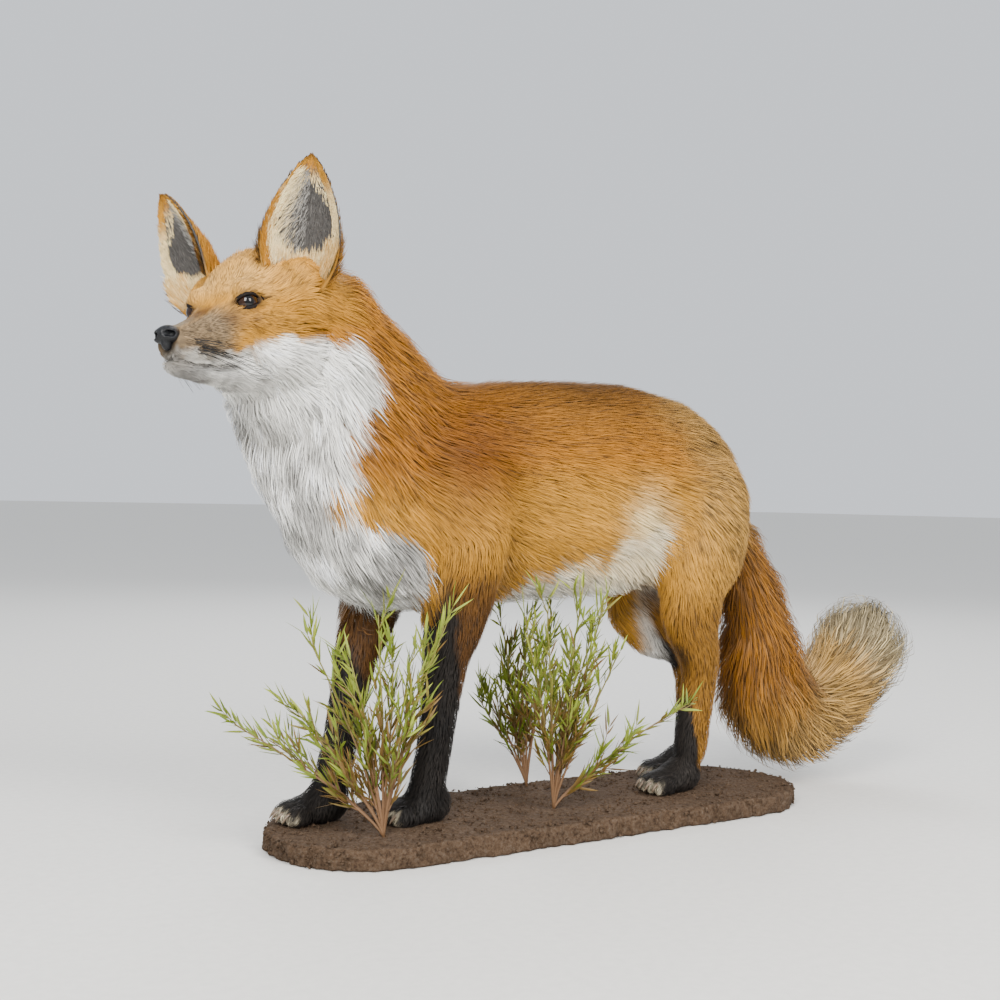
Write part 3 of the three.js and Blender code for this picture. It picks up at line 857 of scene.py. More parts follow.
def tail_markings(p, root, middle, tip, dark):
    along, away = tail_place(p)
    wide = 46 + 24 * step(0.5, 0.7, along)
    on_tail = step(wide, wide - 12, away) * step(0.02, 0.12, along) * (p[:, 0] > 196)
    shade = tint(tint(ORANGE, BACK_BROWN, 0.4), GOLD, step(0.35, 0.6, along) * 0.65)
    shade = tint(shade, BUFF * 1.25, 0.9 * step(0.36, 0.56, along))
    shade = tint(shade, CREAM * 0.8, step(0.72, 0.88, along))
    streak = np.exp(-(((p[:, 0] - 214) / 16) ** 2) - ((p[:, 2] - 178) / 52) ** 2)
    shade = tint(shade, UMBER * 0.6, 0.75 * streak * step(-0.3, 0.5, rough_edge(p)))
    low = step(110, 50, p[:, 2]) * step(0.35, 0.5, along)
    share = 0.30 + 0.35 * low + 0.65 * step(0.68, 0.84, along)
    # The tips take a lighter copy of the tail's colour: painted light on the coat's surface.
    return (
        tint(root, tint(shade, GREY, 0.25), on_tail),
        tint(middle, shade, on_tail),
        tint(tip, shade * 1.08, on_tail),
        mix(dark, share, on_tail),
    )


def head_markings(p, q, root, middle, tip, dark, ragged):
    x, side, z = q[:, 0], np.abs(q[:, 1]), q[:, 2]
    on_head = step(-92, -66, x) * step(-74, -50, z + 0.25 * (x + 60))
    face = tint(ORANGE, GOLD * 1.25, step(-60, 0, x) * 0.9)
    face = tint(face, RUST, 0.45 * step(24, 34, side) * step(-30, 0, z) * step(-60, -30, x))
    brow = np.exp(-(((x + 2) / 17) ** 2) - ((side - 15) / 13) ** 2 - ((z - 16) / 12) ** 2)
    face = tint(face, CREAM, 0.25 * brow)
    grizzle = step(-4, 10, z) * step(-46, -20, x) * step(22, 6, x)
    face = tint(face, tint(GOLD, CREAM, 0.14) * 1.3, 0.6 * grizzle)
    muzzle = step(14, 36, x + 0.6 * (side - 12)) * step(2, 8, side)
    face = tint(face, MUZZLE_GREY, 0.85 * muzzle)
    bridge = step(14, 34, x) * step(9, 3, side)
    face = tint(face, tint(BACK_BROWN, MUZZLE_GREY, step(30, 66, x)), bridge)
    tear = np.exp(-(((x - 26) / 10) ** 2) - ((side - 18) / 5) ** 2 - ((z + 13) / 7) ** 2)
    face = tint(face, TEAR_BROWN, 0.7 * tear)
    under = np.exp(-(((x + 4) / 18) ** 2) - ((z + 14) / 6) ** 2) * (side > 16)
    face = tint(face, tint(RUST, TEAR_BROWN, 0.4), 0.5 * under)
    edge = read_line(CHEEK_EDGE, x)
    face = tint(face, GOLD * 1.15, 0.6 * step(-22, -6, z - edge - 22) * step(20, 0, x) * step(26, 34, side))
    white = step(4, -4, z - edge + 0.5 * ragged) * white_front(p, ragged)
    mouth = read_line(MOUTH_LINE, x)
    chin = step(0, -4, z - mouth) * step(30, 60, x)
    jaw = step(0, -8, z - mouth) * step(-30, 10, x)
    pale = tint(WHITE, GREY, np.clip(0.5 * chin + 0.6 * jaw + 0.3 * step(0.2, 0.8, patches(p)), 0, 1))
    gaps = 0.7 * jaw * step(-0.2, 0.6, rough_edge(p)) + 0.45 * step(0.3, 0.8, fine_edge(p)) * jaw
    pale = tint(pale, SLATE, gaps)
    for hand in (1, -1):
        eye, out, along, up = eye_axes(hand)
        offset = q - eye
        run, rise = offset @ along, offset @ up
        ring = np.hypot(run / (SLIT["half"] + 1.6), rise / (SLIT["high"] + 2.2))
        close = (offset @ out > 0) & (np.linalg.norm(offset, axis=-1) < 24)
        face = tint(face, BLACK, 0.9 * step(1.12, 0.8, ring) * close)
        corner = np.exp(-(((run + 15) / 6) ** 2) - ((rise - 0.5) / 1.6) ** 2) * close
        corner += np.exp(-(((run - 14) / 4) ** 2) - ((rise + 0.5) / 2.2) ** 2) * close
        face = tint(face, SOOT, 0.85 * np.clip(corner, 0, 1))
    face = tint(face, pale, white)
    upper_lip = step(8, 36, x) * step(-52, -46, z) * white
    face = tint(face, MUZZLE_GREY, 0.45 * upper_lip)
    dark_lip = np.exp(-(((z - mouth + 0.8) / 2.2) ** 2)) * step(8, 22, x)
    face = tint(face, BLACK, 0.9 * dark_lip)
    by_nose = np.exp(-((np.linalg.norm(q - rows(74, 0, -35), axis=-1) / 9) ** 4))
    face = tint(face, SOOT, 0.75 * by_nose)
    flecks = step(0.1, 0.6, fine_edge(q * rows(0.5, 1.0, 2.4))) * step(22, 40, x) * step(-46, -40, z)
    face = tint(face, SOOT, 0.3 * flecks * step(3, 9, side) * step(-16, -24, z))
    share = 0.08 + 0.35 * muzzle + 0.15 * grizzle + 0.2 * under
    share = mix(share, 0.03, white)
    # The tips take a lighter copy of the face colour: painted light on the coat's surface.
    return (
        tint(root, tint(face, UMBER, 0.3 * (1 - white)), on_head),
        tint(middle, face, on_head),
        tint(tip, face * 1.12, on_head),
        mix(dark, share, on_head),
    )


def markings(p):
    """Root, middle and tip colours of the hair at each place, and the share of dark-tipped hairs."""
    ragged = 7 * rough_edge(p) + 4 * fine_edge(p)
    made = body_markings(p, ragged)
    made = leg_markings(p, *made, ragged)
    made = tail_markings(p, *made)
    return head_markings(p, to_head(p), *made, ragged)


# ---- the coat ----
class Skin:
    """Height above the skin, from all its solids together."""

    def __init__(self, solids):
        self.solids = solids

    def __call__(self, p):
        total = np.full(p.shape[:-1], 50.0)
        for name, solid in self.solids:
            q = to_head(p) if name == "head" else p
            place = (q - solid.low) / solid.cell
            inside = np.all((place >= 0) & (place <= np.array(solid.values.shape) - 1), axis=-1)
            if inside.any():
                total[inside] = np.minimum(total[inside], solid.at(q[inside]))
        return total


def cell_number(cells):
    """One number for each cell of a grid."""
    return (cells[:, 0] * 4096 + cells[:, 1]) * 4096 + cells[:, 2]


def scattered(points, triangles, spacing, seed):
    """Places spread evenly over a surface: spacing is given for each triangle."""
    rng = np.random.default_rng(seed)
    a, b, c = (points[triangles[:, k]] for k in range(3))
    area = np.linalg.norm(np.cross(b - a, c - a), axis=-1) / 2
    wanted = area / spacing**2 * 2.6
    count = np.floor(wanted + rng.random(len(wanted))).astype(int)
    chosen = rng.permutation(np.repeat(np.arange(len(triangles)), count))
    u, v = rng.random((2, len(chosen)))
    flip = u + v > 1
    u, v = np.where(flip, 1 - u, u), np.where(flip, 1 - v, v)
    share = np.stack([1 - u - v, u, v], -1)
    places = np.einsum("nk,nkj->nj", share, points[triangles[chosen]])
    cells = np.floor(places / spacing[chosen][:, None] + 0.5).astype(np.int64)
    sizes = np.round(spacing[chosen] * 20).astype(np.int64)
    _, first = np.unique(cell_number(cells) * 256 + sizes, return_index=True)
    first.sort()
    return places[first], chosen[first], share[first]


def bunched(roots, normals, places, size, pull, seed):
    """Draws the ends of neighbouring hairs on the same side of the body together into locks."""
    jitter = Cloud(size * 1.7, seed)
    drift = np.stack([jitter(roots + rows(k * 37, 0, 0)) for k in range(3)], -1) * size * 0.5
    cell = np.floor((roots + 1.5 * size * normals + drift) / size).astype(np.int64)
    _, lock = np.unique(cell_number(cell), return_inverse=True)
    count = np.bincount(lock)

    def lock_mean(values):
        return np.stack([np.bincount(lock, values[:, k]) / count for k in range(3)], -1)[lock]

    centre = lock_mean(roots)
    return [
        place + amount * (centre + lock_mean(place - roots) - place)
        for place, amount in zip(places, pull)
    ]


STRAND_STAGES = {  # rings along a strand: how far along, how high, how wide
    1: [(0.42, 0.62, 1.0)],
    2: [(0.28, 0.46, 1.0), (0.66, 0.84, 0.74)],
}
PATCH = 0.003  # width of a strand's patch on the bake map
SOFT = 0.72  # how far a strand takes its shading from the skin below it


def strand_faces(stages, count):
    """Corner numbers of a strand's triangles: a root point, rings of three and a tip."""
    one = [(0, 2, 1), (0, 3, 2), (0, 1, 3)]
    for k in range(stages - 1):
        for a, b in ((1, 2), (2, 3), (3, 1)):
            one += [(3 * k + a, 3 * k + b, 3 * k + b + 3), (3 * k + a, 3 * k + b + 3, 3 * k + a + 3)]
    last, tip = 3 * stages - 3, 3 * stages + 1
    one += [(last + a, last + b, tip) for a, b in ((1, 2), (2, 3), (3, 1))]
    return (np.array(one)[None] + (tip + 1) * np.arange(count)[:, None, None]).reshape(-1, 3)


def strand_mesh(name, before, places, normals, width, stages, flat=0.7, soft=SOFT):
    """Tapered three-sided strands through the places given, the last being the tips.

    Where soft is None the sides are shaded flat, as leaves are.
    """
    ring, facing = [], []
    for k, (_, _, wide) in enumerate(STRAND_STAGES[stages]):
        along = unit(places[k + 1] - (places[k - 1] if k else before))
        across = unit(np.cross(along, normals))
        above = np.cross(across, along)
        reach = (width * wide)[:, None] / 2
        ring += [places[k] + across * reach, places[k] - across * reach, places[k] + above * reach * flat]
        facing += [across, -across, above]
    points = np.stack([before, *ring, places[-1]], 1)
    facing = np.stack([facing[2], *facing, facing[-1]], 1)
    piece = mesh_piece(name, points.reshape(-1, 3), [strand_faces(stages, len(before))], soft is not None)
    if soft is None:
        return piece
    lit = unit(soft * normals[:, None] + (1 - soft) * facing)
    piece.data.normals_split_custom_set_from_vertices(lit.reshape(-1, 3).astype(np.float32))
    return piece


def strand_piece(name, skin, hair, colours, dark, spread, seed, lock=7.0, stages=2, mottle=0.08, raised=1.0,
                 soft=SOFT):
    """A coat piece: hair holds the roots, the skin's normals there, and the way, length, loft and width."""
    roots, normals, way, length, loft, width = hair
    rng = np.random.default_rng(seed)
    count = len(roots)
    bend = Cloud(28, seed + 1)
    sideways = unit(np.cross(normals, way))
    way = unit(way + sideways * (0.16 * bend(roots) + rng.normal(0, 0.09, count))[:, None])
    way = unit(way - normals * np.einsum("ij,ij->i", way, normals)[:, None])
    sideways = unit(np.cross(normals, way))
    length = length * rng.uniform(0.72, 1.12, count)
    lift = raised * loft * np.clip(rng.normal(0.88, 0.16 if stages == 1 else 0.28, count), 0.3, 1.5)
    sway = rng.normal(0, 0.05, count)
    places = []
    for run, rise in [(run, rise) for run, rise, _ in STRAND_STAGES[stages]] + [(1.0, 1.0)]:
        place = roots + way * (length * run)[:, None] + sideways * (length * sway * run**2)[:, None]
        if skin is None:
            place = place + normals * (lift * rise)[:, None]
        else:
            for _ in range(2):
                place = place + normals * np.clip(lift * rise - skin(place), -20, 20)[:, None]
        places.append(place)
    pull = (0.05, 0.2, 0.42) if stages == 2 else (0.06, 0.3)
    places = bunched(roots, normals, places, lock, pull, seed + 2)
    piece = strand_mesh(name, roots - normals * 0.8, places, normals, width, stages, 0.7, soft)
    root, middle, tip = colours
    tone = np.exp(rng.normal(0, 0.09, count) + mottle * 1.6 * Cloud(lock * 0.9, seed + 3)(roots))[:, None]
    tipped = (rng.random(count) < dark)[:, None]
    tip = np.where(tipped, tint(tip, SOOT, 0.85), tip)
    third = np.where(tipped, tint(middle, tip, np.clip(0.35 + 0.9 * dark, 0, 0.95)), middle)
    low = tint(root, middle, 0.55)
    # Each strand's root point is a darker copy of its root colour: painted shade deep in the coat.
    shade = [root * 0.85] + [low] * 3 * (stages - 1) + [third] * 3 + [tip]
    shade = np.stack(shade, 1) * tone[:, None]
    add_colours(piece, shade.reshape(-1, 3))
    strand_map(piece, spread, stages)
    return piece


def add_colours(piece, colours):
    data = np.column_stack([np.clip(colours, 0, 1), np.ones(len(colours))]).astype(np.float32)
    # This colour attribute holds the real markings together with painted shade at roots and painted light at
    # tips.
    layer = piece.data.color_attributes.new("marking_and_painted_light", "FLOAT_COLOR", "POINT")
    layer.data.foreach_set("color", data.ravel())


def strand_map(piece, spread, stages):
    """The bake map: each strand is a small patch at its root's place on the skin's own unwrap."""
    runs = [run for run, _, _ in STRAND_STAGES[stages]]
    across = [0.5] + [0.1, 0.9, 0.5] * stages + [0.5]
    along = [0] + [run for run in runs for _ in range(3)] + [1]
    patch = (np.stack([across, along], -1) - 0.5) * PATCH
    corners = (spread[:, None] + patch[None]).reshape(-1, 2)
    loops = np.zeros(len(piece.data.loops), np.int32)
    piece.data.loops.foreach_get("vertex_index", loops)
    layer = piece.data.uv_layers.new(name="OFBake")
    layer.data.foreach_set("uv", corners[loops].astype(np.float32).ravel())


def fitted(values):
    """Numbers spread over 0.01 to 0.99."""
    if not len(values):
        return values
    low, high = values.min(), values.max()
    return 0.01 + 0.98 * (values - low) / max(high - low, 1e-6)


def around(p, at, axis):
    """Unwraps places round a straight axis: how far along, and which way round."""
    axis = unit(rows(*axis))
    offset = p - rows(*at)
    first = unit(np.cross(axis, rows(0, 1, 0)))
    turn = np.arctan2(offset @ np.cross(axis, first), offset @ first)
    return np.stack([fitted(offset @ axis), fitted(turn)], -1)


def leg_unwrap(p):
    which, _, _ = leg_place(p)
    spread = np.zeros((len(p), 2))
    for k, line in enumerate(LEG_LINES.values()):
        mine = which == k
        x, y = leg_middle(line, p[mine, 2])
        turn = np.arctan2(p[mine, 1] - y, p[mine, 0] - x) / (2 * math.pi) + 0.5
        spread[mine] = np.stack([(k + 0.02 + 0.96 * turn) / 4, fitted(p[mine, 2])], -1)
    return spread


def on_spine(at):
    """Places on the tail's spine, counted in stations from its root."""
    return np.stack([np.interp(at, np.arange(len(TAIL_SPINE)), axis) for axis in TAIL_SPINE.T], -1)


def tail_unwrap(p):
    last = len(TAIL_SPINE) - 1
    at = tail_place(p)[0] * last
    run = unit(on_spine(np.minimum(at + 0.5, last)) - on_spine(np.maximum(at - 0.5, 0)))
    offset = p - on_spine(at)
    first = unit(np.cross(run, rows(0, 1, 0)))
    turn = np.arctan2(offset[:, 1], np.einsum("ij,ij->i", offset, first))
    return np.stack([fitted(at), fitted(turn)], -1)


def everywhere(p):
    return np.full(len(p), True)


def round_head(p):
    return around(to_head(p), (0, 0, -15), (1, 0, 0))


def round_trunk(p):
    return around(p, (0, MID, 285), (1, 0, 0))


def round_neck(p):
    return around(p, (-230, MID, 350), (-0.66, 0, 0.75))


# Each coat piece: the guide regions it covers, which part of them, the strands' spacing and width, the
# size of their locks, their rings, how mottled they are, and the unwrap that they are baked on.
COATS = {
    "coat_face": (("face",), everywhere, 0.90, 0.52, 3.0, 1, 0.06, round_head),
    "coat_crown": (("crown",), everywhere, 1.08, 0.64, 4.5, 1, 0.10, round_head),
    "coat_cheek": (("cheek",), everywhere, 1.26, 0.78, 7, 2, 0.10, round_head),
    "coat_neck": (("neck",), everywhere, 1.64, 1.02, 10, 2, 0.15, round_neck),
    "coat_breast": (("breast",), everywhere, 1.76, 1.08, 11, 2, 0.34, round_neck),
    "coat_back": (("back",), everywhere, 1.28, 0.85, 7, 1, 0.06, round_trunk),
    "coat_hips": (("hip",), everywhere, 1.66, 0.88, 6, 1, 0.10, round_trunk),
    "coat_flanks": (("flank",), everywhere, 1.70, 0.94, 8, 1, 0.06, round_trunk),
    "coat_belly": (("belly",), everywhere, 2.2, 1.15, 9, 2, 0.12, round_trunk),
    "coat_tail": (("tail",), everywhere, 1.92, 1.22, 9, 2, 0.14, tail_unwrap),
    "coat_front_legs": (("leg",), lambda p: p[:, 0] < 0, 1.82, 0.85, 4, 1, 0.10, leg_unwrap),
    "coat_hind_legs": (("leg",), lambda p: p[:, 0] >= 0, 1.82, 0.85, 4, 1, 0.10, leg_unwrap),
}


# A draft has fewer and wider strands: times the spacing, times the width, and the ears' share of hairs.
DRAFT_GAP, DRAFT_WIDTH, DRAFT_EARS = ((1, 1, 1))


def skin_normals(points, triangles):
    a, b, c = (points[triangles[:, k]] for k in range(3))
    flat = np.cross(b - a, c - a)
    normals = np.zeros_like(points)
    for k in range(3):
        for axis in range(3):
            normals[:, axis] += np.bincount(triangles[:, k], flat[:, axis], len(points))
    return unit(normals)


def make_coats(piece, skin):
    points, triangles = points_of(piece), triangles_of(piece)
    normals = skin_normals(points, triangles)
    middles = points[triangles].mean(1)
    _, _, _, nearest = combed(middles)
    region = GUIDE_REGIONS[nearest]
    q = to_head(middles)
    bare = (skin(middles) > 2.5) | eye_mask(q) | nose_mask(q) | (middles[:, 2] < SOIL + 2.5)
    made = []
    for seed, (name, coat) in enumerate(COATS.items()):
        regions, where, spacing, width, lock, stages, mottle, unwrap = coat
        mine = triangles[np.isin(region, regions) & ~bare & where(middles)]
        gap = np.full(len(mine), spacing * DRAFT_GAP)
        roots, which, share = scattered(points, mine, gap, 100 + seed)
        out = unit(np.einsum("nk,nkj->nj", share, normals[mine[which]]))
        way, length, loft, _ = combed(roots)
        by_ear = near_ear(to_head(roots))
        length, loft = length * (1 - 0.25 * by_ear), loft * (1 - 0.35 * by_ear)
        broad = np.full(len(roots), width * DRAFT_WIDTH)
        *colours, dark = markings(roots)
        hair = (roots, out, way, length, loft, broad)
        spread, start = unwrap(roots), 200 + 10 * seed
        raised = np.ones(len(roots))
        if name == "coat_tail":
            raised = 1.18 + 0.45 * step(0.72, 0.95, tail_place(roots)[0])
        made.append(strand_piece(
            name, skin, hair, colours, dark, spread, start, lock, stages, mottle, raised))
    return made


def near_ear(q):
    """1 at the foot of either ear and 0 away from it, for places in the head's frame."""
    away = np.linalg.norm(mirrored(q) - rows(-36, 42, 32), axis=-1)
    return step(-50, -34, q[:, 0]) * np.exp(-((away / 26) ** 4))


def eye_mask(q):
    """Places on the lids, where no hair grows."""
    found = np.zeros(len(q), bool)
    for hand in (1, -1):
        middle, out, along, up = eye_axes(hand)
        offset = q - middle
        ring = np.hypot(offset @ along / (SLIT["half"] + 1.6), offset @ up / (SLIT["high"] + 1.8))
        found |= (ring < 1) & (offset @ out > 0) & (np.linalg.norm(offset, axis=-1) < 20)
    return found


def nose_mask(q):
    return (q[:, 0] > 70) & (q[:, 2] > -38)


# ---- the ears' own short coat ----
def ear_frame(side, u, v, face):
    """Places on the ear's skin in the row frame, their normals, and the ways to the tip and across."""
    at = ear_point(side, u, v, face, EAR_TRIM)
    up = unit(ear_point(side, u, v + 0.02, face, EAR_TRIM) - at)
    over = unit(ear_point(side, u + 0.02, v, face, EAR_TRIM) - at)
    out = at - ear_point(side, u, v, -face, EAR_TRIM)
    normal = np.cross(over, up)
    normal = unit(normal * np.sign(np.einsum("ij,ij->i", normal, out))[:, None])
    return from_head(at), normal @ HEAD_TURN.T, up @ HEAD_TURN.T, over @ HEAD_TURN.T


EAR_HAIRS = {"back": 3800, "foot": 1200, "cup": 1600, "rim": 1800}


def ear_coat(side, seed):
    hand = EAR_SIDES[side]
    rng = np.random.default_rng(seed)
    grown = []

    def grow(u, v, face, way, length, loft, width, colour):
        root, normal, up, over = ear_frame(side, u, v, face)
        lie = unit(up * way[1][:, None] + over * way[0][:, None])
        island = (face == EAR_CUP) + 2 * (side == "right")
        place = np.stack([(island + 0.03 + 0.94 * (u + 1) / 2) / 4, 0.01 + 0.98 * np.clip(v, 0, 1)], -1)
        sizes = [np.broadcast_to(value, len(u)).astype(float) for value in (length, loft, width)]
        grown.append([root, normal, lie, *sizes, colour, place])

    def count_of(kind):
        return int(EAR_HAIRS[kind] * DRAFT_EARS)

    # the back: black above, rust towards its foot
    count = count_of("back")
    u, v = rng.uniform(-1, 1, count), 0.04 + 0.94 * rng.random(count) ** 1.1
    black = step(0.30, 0.55, v + 0.06 * rng.normal(size=count))
    shade = tint(ORANGE, BLACK * 1.5, black * 0.95)
    shade = tint(shade, GOLD, step(0.88, 0.97, np.abs(u)) * 0.7)
    long, loft = 5 + 8 * (1 - black), 1.2 + 2.5 * (1 - black)
    grow(u, v, EAR_BACK, (0.1 * rng.normal(size=count), np.ones(count)), long, loft, 0.7, shade)
    # the foot: long golden hair rising from the scalp against the back, and over the inner edge
    count = count_of("foot")
    u, v = rng.uniform(-1, 1, count), rng.uniform(-0.08, 0.30, count)
    shade = tint(GOLD, ORANGE, rng.random(count))
    grow(u, v, EAR_BACK, (0.35 * rng.normal(size=count), np.ones(count)), 18 - 20 * v, 5.5, 0.8, shade)
    count = count_of("foot")
    u, v = -hand * rng.uniform(0.72, 1, count), rng.uniform(0.0, 0.62, count)
    shade = tint(GOLD, ORANGE, rng.random(count))
    sideways = -hand * (0.5 - 0.4 * v) + 0.25 * rng.normal(size=count)
    grow(u, v, EAR_CUP, (sideways, np.ones(count)), 15 - 10 * v, 3.5 - 2 * v, 0.75, shade)
    # long golden hair over the foot of the outer edge
    count = count_of("foot")
    u, v = hand * rng.uniform(0.55, 1, count), rng.uniform(-0.04, 0.24, count)
    shade = tint(GOLD, CREAM, 0.7 * rng.random(count))
    sideways = hand * 0.1 + 0.3 * rng.normal(size=count)
    grow(u, v, EAR_CUP, (sideways, np.ones(count)), 17 - 24 * v, 4.0 - 6 * v, 0.75, shade)
    # the cup's down: short and dark, everywhere
    count = count_of("cup")
    u, v = hand * rng.uniform(-0.95, 0.9, count), rng.uniform(0.05, 0.9, count)
    shade = tint(SLATE * 0.4, SLATE, rng.random(count))
    grow(u, v, EAR_CUP, (0.25 * rng.normal(size=count), np.ones(count)), 7, 1.2, 0.6, shade)
    # the cup's foot: cream hair, higher towards its edges
    count = count_of("foot")
    u = hand * rng.uniform(-1, 0.95, count)
    v = 0.02 + 0.10 * rng.random(count) ** 1.4 + 0.34 * u * u * rng.random(count)
    shade = tint(CREAM, GOLD, rng.random(count) * step(0.2, 0.05, v))
    long = rng.uniform(7, 16, count)
    grow(u, v, EAR_CUP, (0.3 * rng.normal(size=count), np.ones(count)), long, 3.0, 0.6, shade)
    # pale hair leaning in from the inner edge
    count = count_of("cup")
    inner = rng.random(count) ** 1.5
    u, v = -hand * (0.95 - 0.95 * inner), 0.05 + 0.8 * rng.random(count)
    grey = step(0.1, 0.75, inner + 0.12 * rng.normal(size=count))
    shade = tint(CREAM * 1.05, tint(SLATE, GREY, rng.random(count)), grey)
    sideways = hand * (0.45 - 0.3 * v + 0.2 * rng.normal(size=count))
    long = (5 + 10 * (1 - inner) * (1 - 0.5 * v)) * rng.uniform(0.6, 1.2, count)
    grow(u, v, EAR_CUP, (sideways, 0.7 + 0.5 * v), long, 1.8 + 2.2 * (1 - inner), 0.5, shade)
    # the rim: a thick pale edge, golden at the tip
    count = count_of("rim")
    edge = np.where(rng.random(count) < 0.35, -hand, hand)
    v = 0.02 + 0.97 * rng.random(count)
    u = edge * (1 - (0.24 + 0.42 * (2 * v - 1) ** 2) * rng.random(count))
    gold = np.clip(step(0.55, 0.85, v) + 0.2 * rng.random(count) + 0.3 * (edge == -hand), 0, 1)
    shade = tint(CREAM, GOLD, gold)
    shade = tint(shade, UMBER, step(0.9, 0.99, v) * 0.7)
    grow(u, v, EAR_CUP, (edge * 0.4, np.full(count, 0.9)), 7 - 2 * v, 2.2, 0.75, shade)
    # the tip's own golden fringe over the cup
    count = count_of("rim") // 2
    u = rng.uniform(-1, 1, count)
    v = 0.97 - (0.18 + 0.34 * np.abs(u)) * rng.random(count) ** 1.6
    shade = tint(CREAM, tint(GOLD, ORANGE, rng.random(count)), step(0.72, 0.9, v))
    grow(u, v, EAR_CUP, (0.2 * rng.normal(size=count), np.ones(count)), 6, 1.4, 0.6, shade)
    *hair, colour, spread = (np.concatenate(column) for column in zip(*grown))
    # Roots take a darker copy of each hair's colour and tips a lighter one: painted shade deep in the coat
    # and painted light on its surface.
    return hair, (colour * 0.8, colour, colour * 1.1), np.zeros(len(colour)), spread


def make_ear_coats():
    made = []
    for k, side in enumerate(EAR_SIDES):
        hair, colours, dark, spread = ear_coat(side, 300 + k)
        name = f"coat_ear_{side}"
        made.append(strand_piece(name, None, hair, colours, dark, spread, 320 + k, 3.5, 1, soft=0.15))
    return made


def ear_markings(p, colours):
    """The ears' own skin is a dark grey."""
    q = to_head(p)
    high = step(33, 42, q[:, 2]) * step(22, 30, np.abs(q[:, 1]))
    return tint(colours, SLATE * 0.5, high)


# ---- eyes and lids ----
def make_eye(side):
    hand = EAR_SIDES[side]
    middle, out, along, up = eye_axes(hand)
    turns, rings = 48, 30
    tilt = np.linspace(0, math.pi, rings)
    turn = np.linspace(0, 2 * math.pi, turns, endpoint=False)
    bulge = 0.45 * np.clip(1 - (tilt / 0.62) ** 2, 0, 1)
    r = (EYE_RADIUS - 0.35 + bulge)[:, None]
    tilt, turn = np.meshgrid(tilt, turn, indexing="ij")
    local = np.stack([r * np.cos(tilt), r * np.sin(tilt) * np.cos(turn), r * np.sin(tilt) * np.sin(turn)], -1)
    local = local.reshape(-1, 3)
    points = middle + local[:, :1] * out + local[:, 1:2] * along + local[:, 2:] * up
    index = np.arange(rings * turns).reshape(rings, turns)
    after = np.roll(index, -1, 1)
    faces = np.stack([index[:-1], index[1:], after[1:], after[:-1]], -1)[1:-1].reshape(-1, 4)
    caps = [np.stack([index[0], index[1], after[1]], -1), np.stack([index[-2], index[-1], after[-2]], -1)]
    if hand < 0:
        faces, caps = faces[:, ::-1], [cap[:, ::-1] for cap in caps]
    piece = mesh_piece(f"eyeball_{side}", from_head(points), [faces, *caps])
    layer = piece.data.attributes.new("iris", "FLOAT_VECTOR", "POINT")
    layer.data.foreach_set("vector", (local / EYE_RADIUS).astype(np.float32).ravel())
    return piece


# The lid's section: [distance out from the slit, radius round the eye's middle].
LID_SECTION = [(0.0, 9.15), (0.0, 9.9), (0.7, 10.45), (1.9, 10.9), (2.7, 10.9), (2.9, 9.6), (1.6, 8.9)]


def make_lid(side):
    """A smooth dark band round the open eye."""
    hand = EAR_SIDES[side]
    middle, out, along, up = eye_axes(hand)
    turn = np.linspace(0, 2 * math.pi, 72, endpoint=False)
    run = SLIT["half"] * np.cos(turn)
    rise = np.sign(np.sin(turn)) * slit_reach(run)
    slope = np.stack([np.roll(run, -1) - np.roll(run, 1), np.roll(rise, -1) - np.roll(rise, 1)], -1)
    normal = unit(np.stack([slope[:, 1], -slope[:, 0]], -1))
    loops = []
    for apart, radius in LID_SECTION:
        place = np.stack([run, rise], -1) + normal * apart
        depth = np.sqrt(np.maximum(radius**2 - (place**2).sum(-1), 4))
        loops.append(middle + depth[:, None] * out + place[:, :1] * along + place[:, 1:] * up)
    points = np.stack(loops, 1).reshape(-1, 3)
    sides = len(LID_SECTION)
    index = np.arange(len(turn) * sides).reshape(len(turn), sides)
    after, beside = np.roll(index, -1, 0), np.roll(index, -1, 1)
    faces = np.stack([index, after, np.roll(after, -1, 1), beside], -1).reshape(-1, 4)
    if hand < 0:
        faces = faces[:, ::-1]
    return mesh_piece(f"lids_{side}", from_head(points), [faces])


# ---- nose, claws and whiskers ----
def capsule(p, a, b, radius):
    a, b = rows(*a), rows(*b)
    t = np.clip((p - a) @ (b - a) / ((b - a) @ (b - a)), 0, 1)
    return np.linalg.norm(p - a - t[..., None] * (b - a), axis=-1) - radius


def make_nose():
    low, cell = (60, -14, -44), 0.55
    q = grid_points(low, (89, 14, -14), cell)
    side = mirrored(q)
    made = ellipsoid(q, (73.5, 0, -26.0), (10, 8.4, 6.6))
    made = melt(made, ellipsoid(side, (76.5, 4.8, -27.4), (6.2, 4.4, 4.9)), 2.2)
    made = melt(made, ellipsoid(q, (76.0, 0, -32.5), (5.0, 3.4, 5.4)), 2)
    made = carve(made, capsule(side, (83.5, 4.6, -26.2), (77.5, 6.5, -26.8), 2.3), 1.2)
    made = carve(made, capsule(side, (82.5, 6.2, -27.2), (76, 11.5, -30.4), 1.0), 1.0)
    made = carve(made, capsule(q, (84.2, 0, -21), (82.5, 0, -42), 0.7), 0.9)
    points, faces = Solid(low, cell, made).surface()
    return mesh_piece("nose_pad", from_head(points), faces)


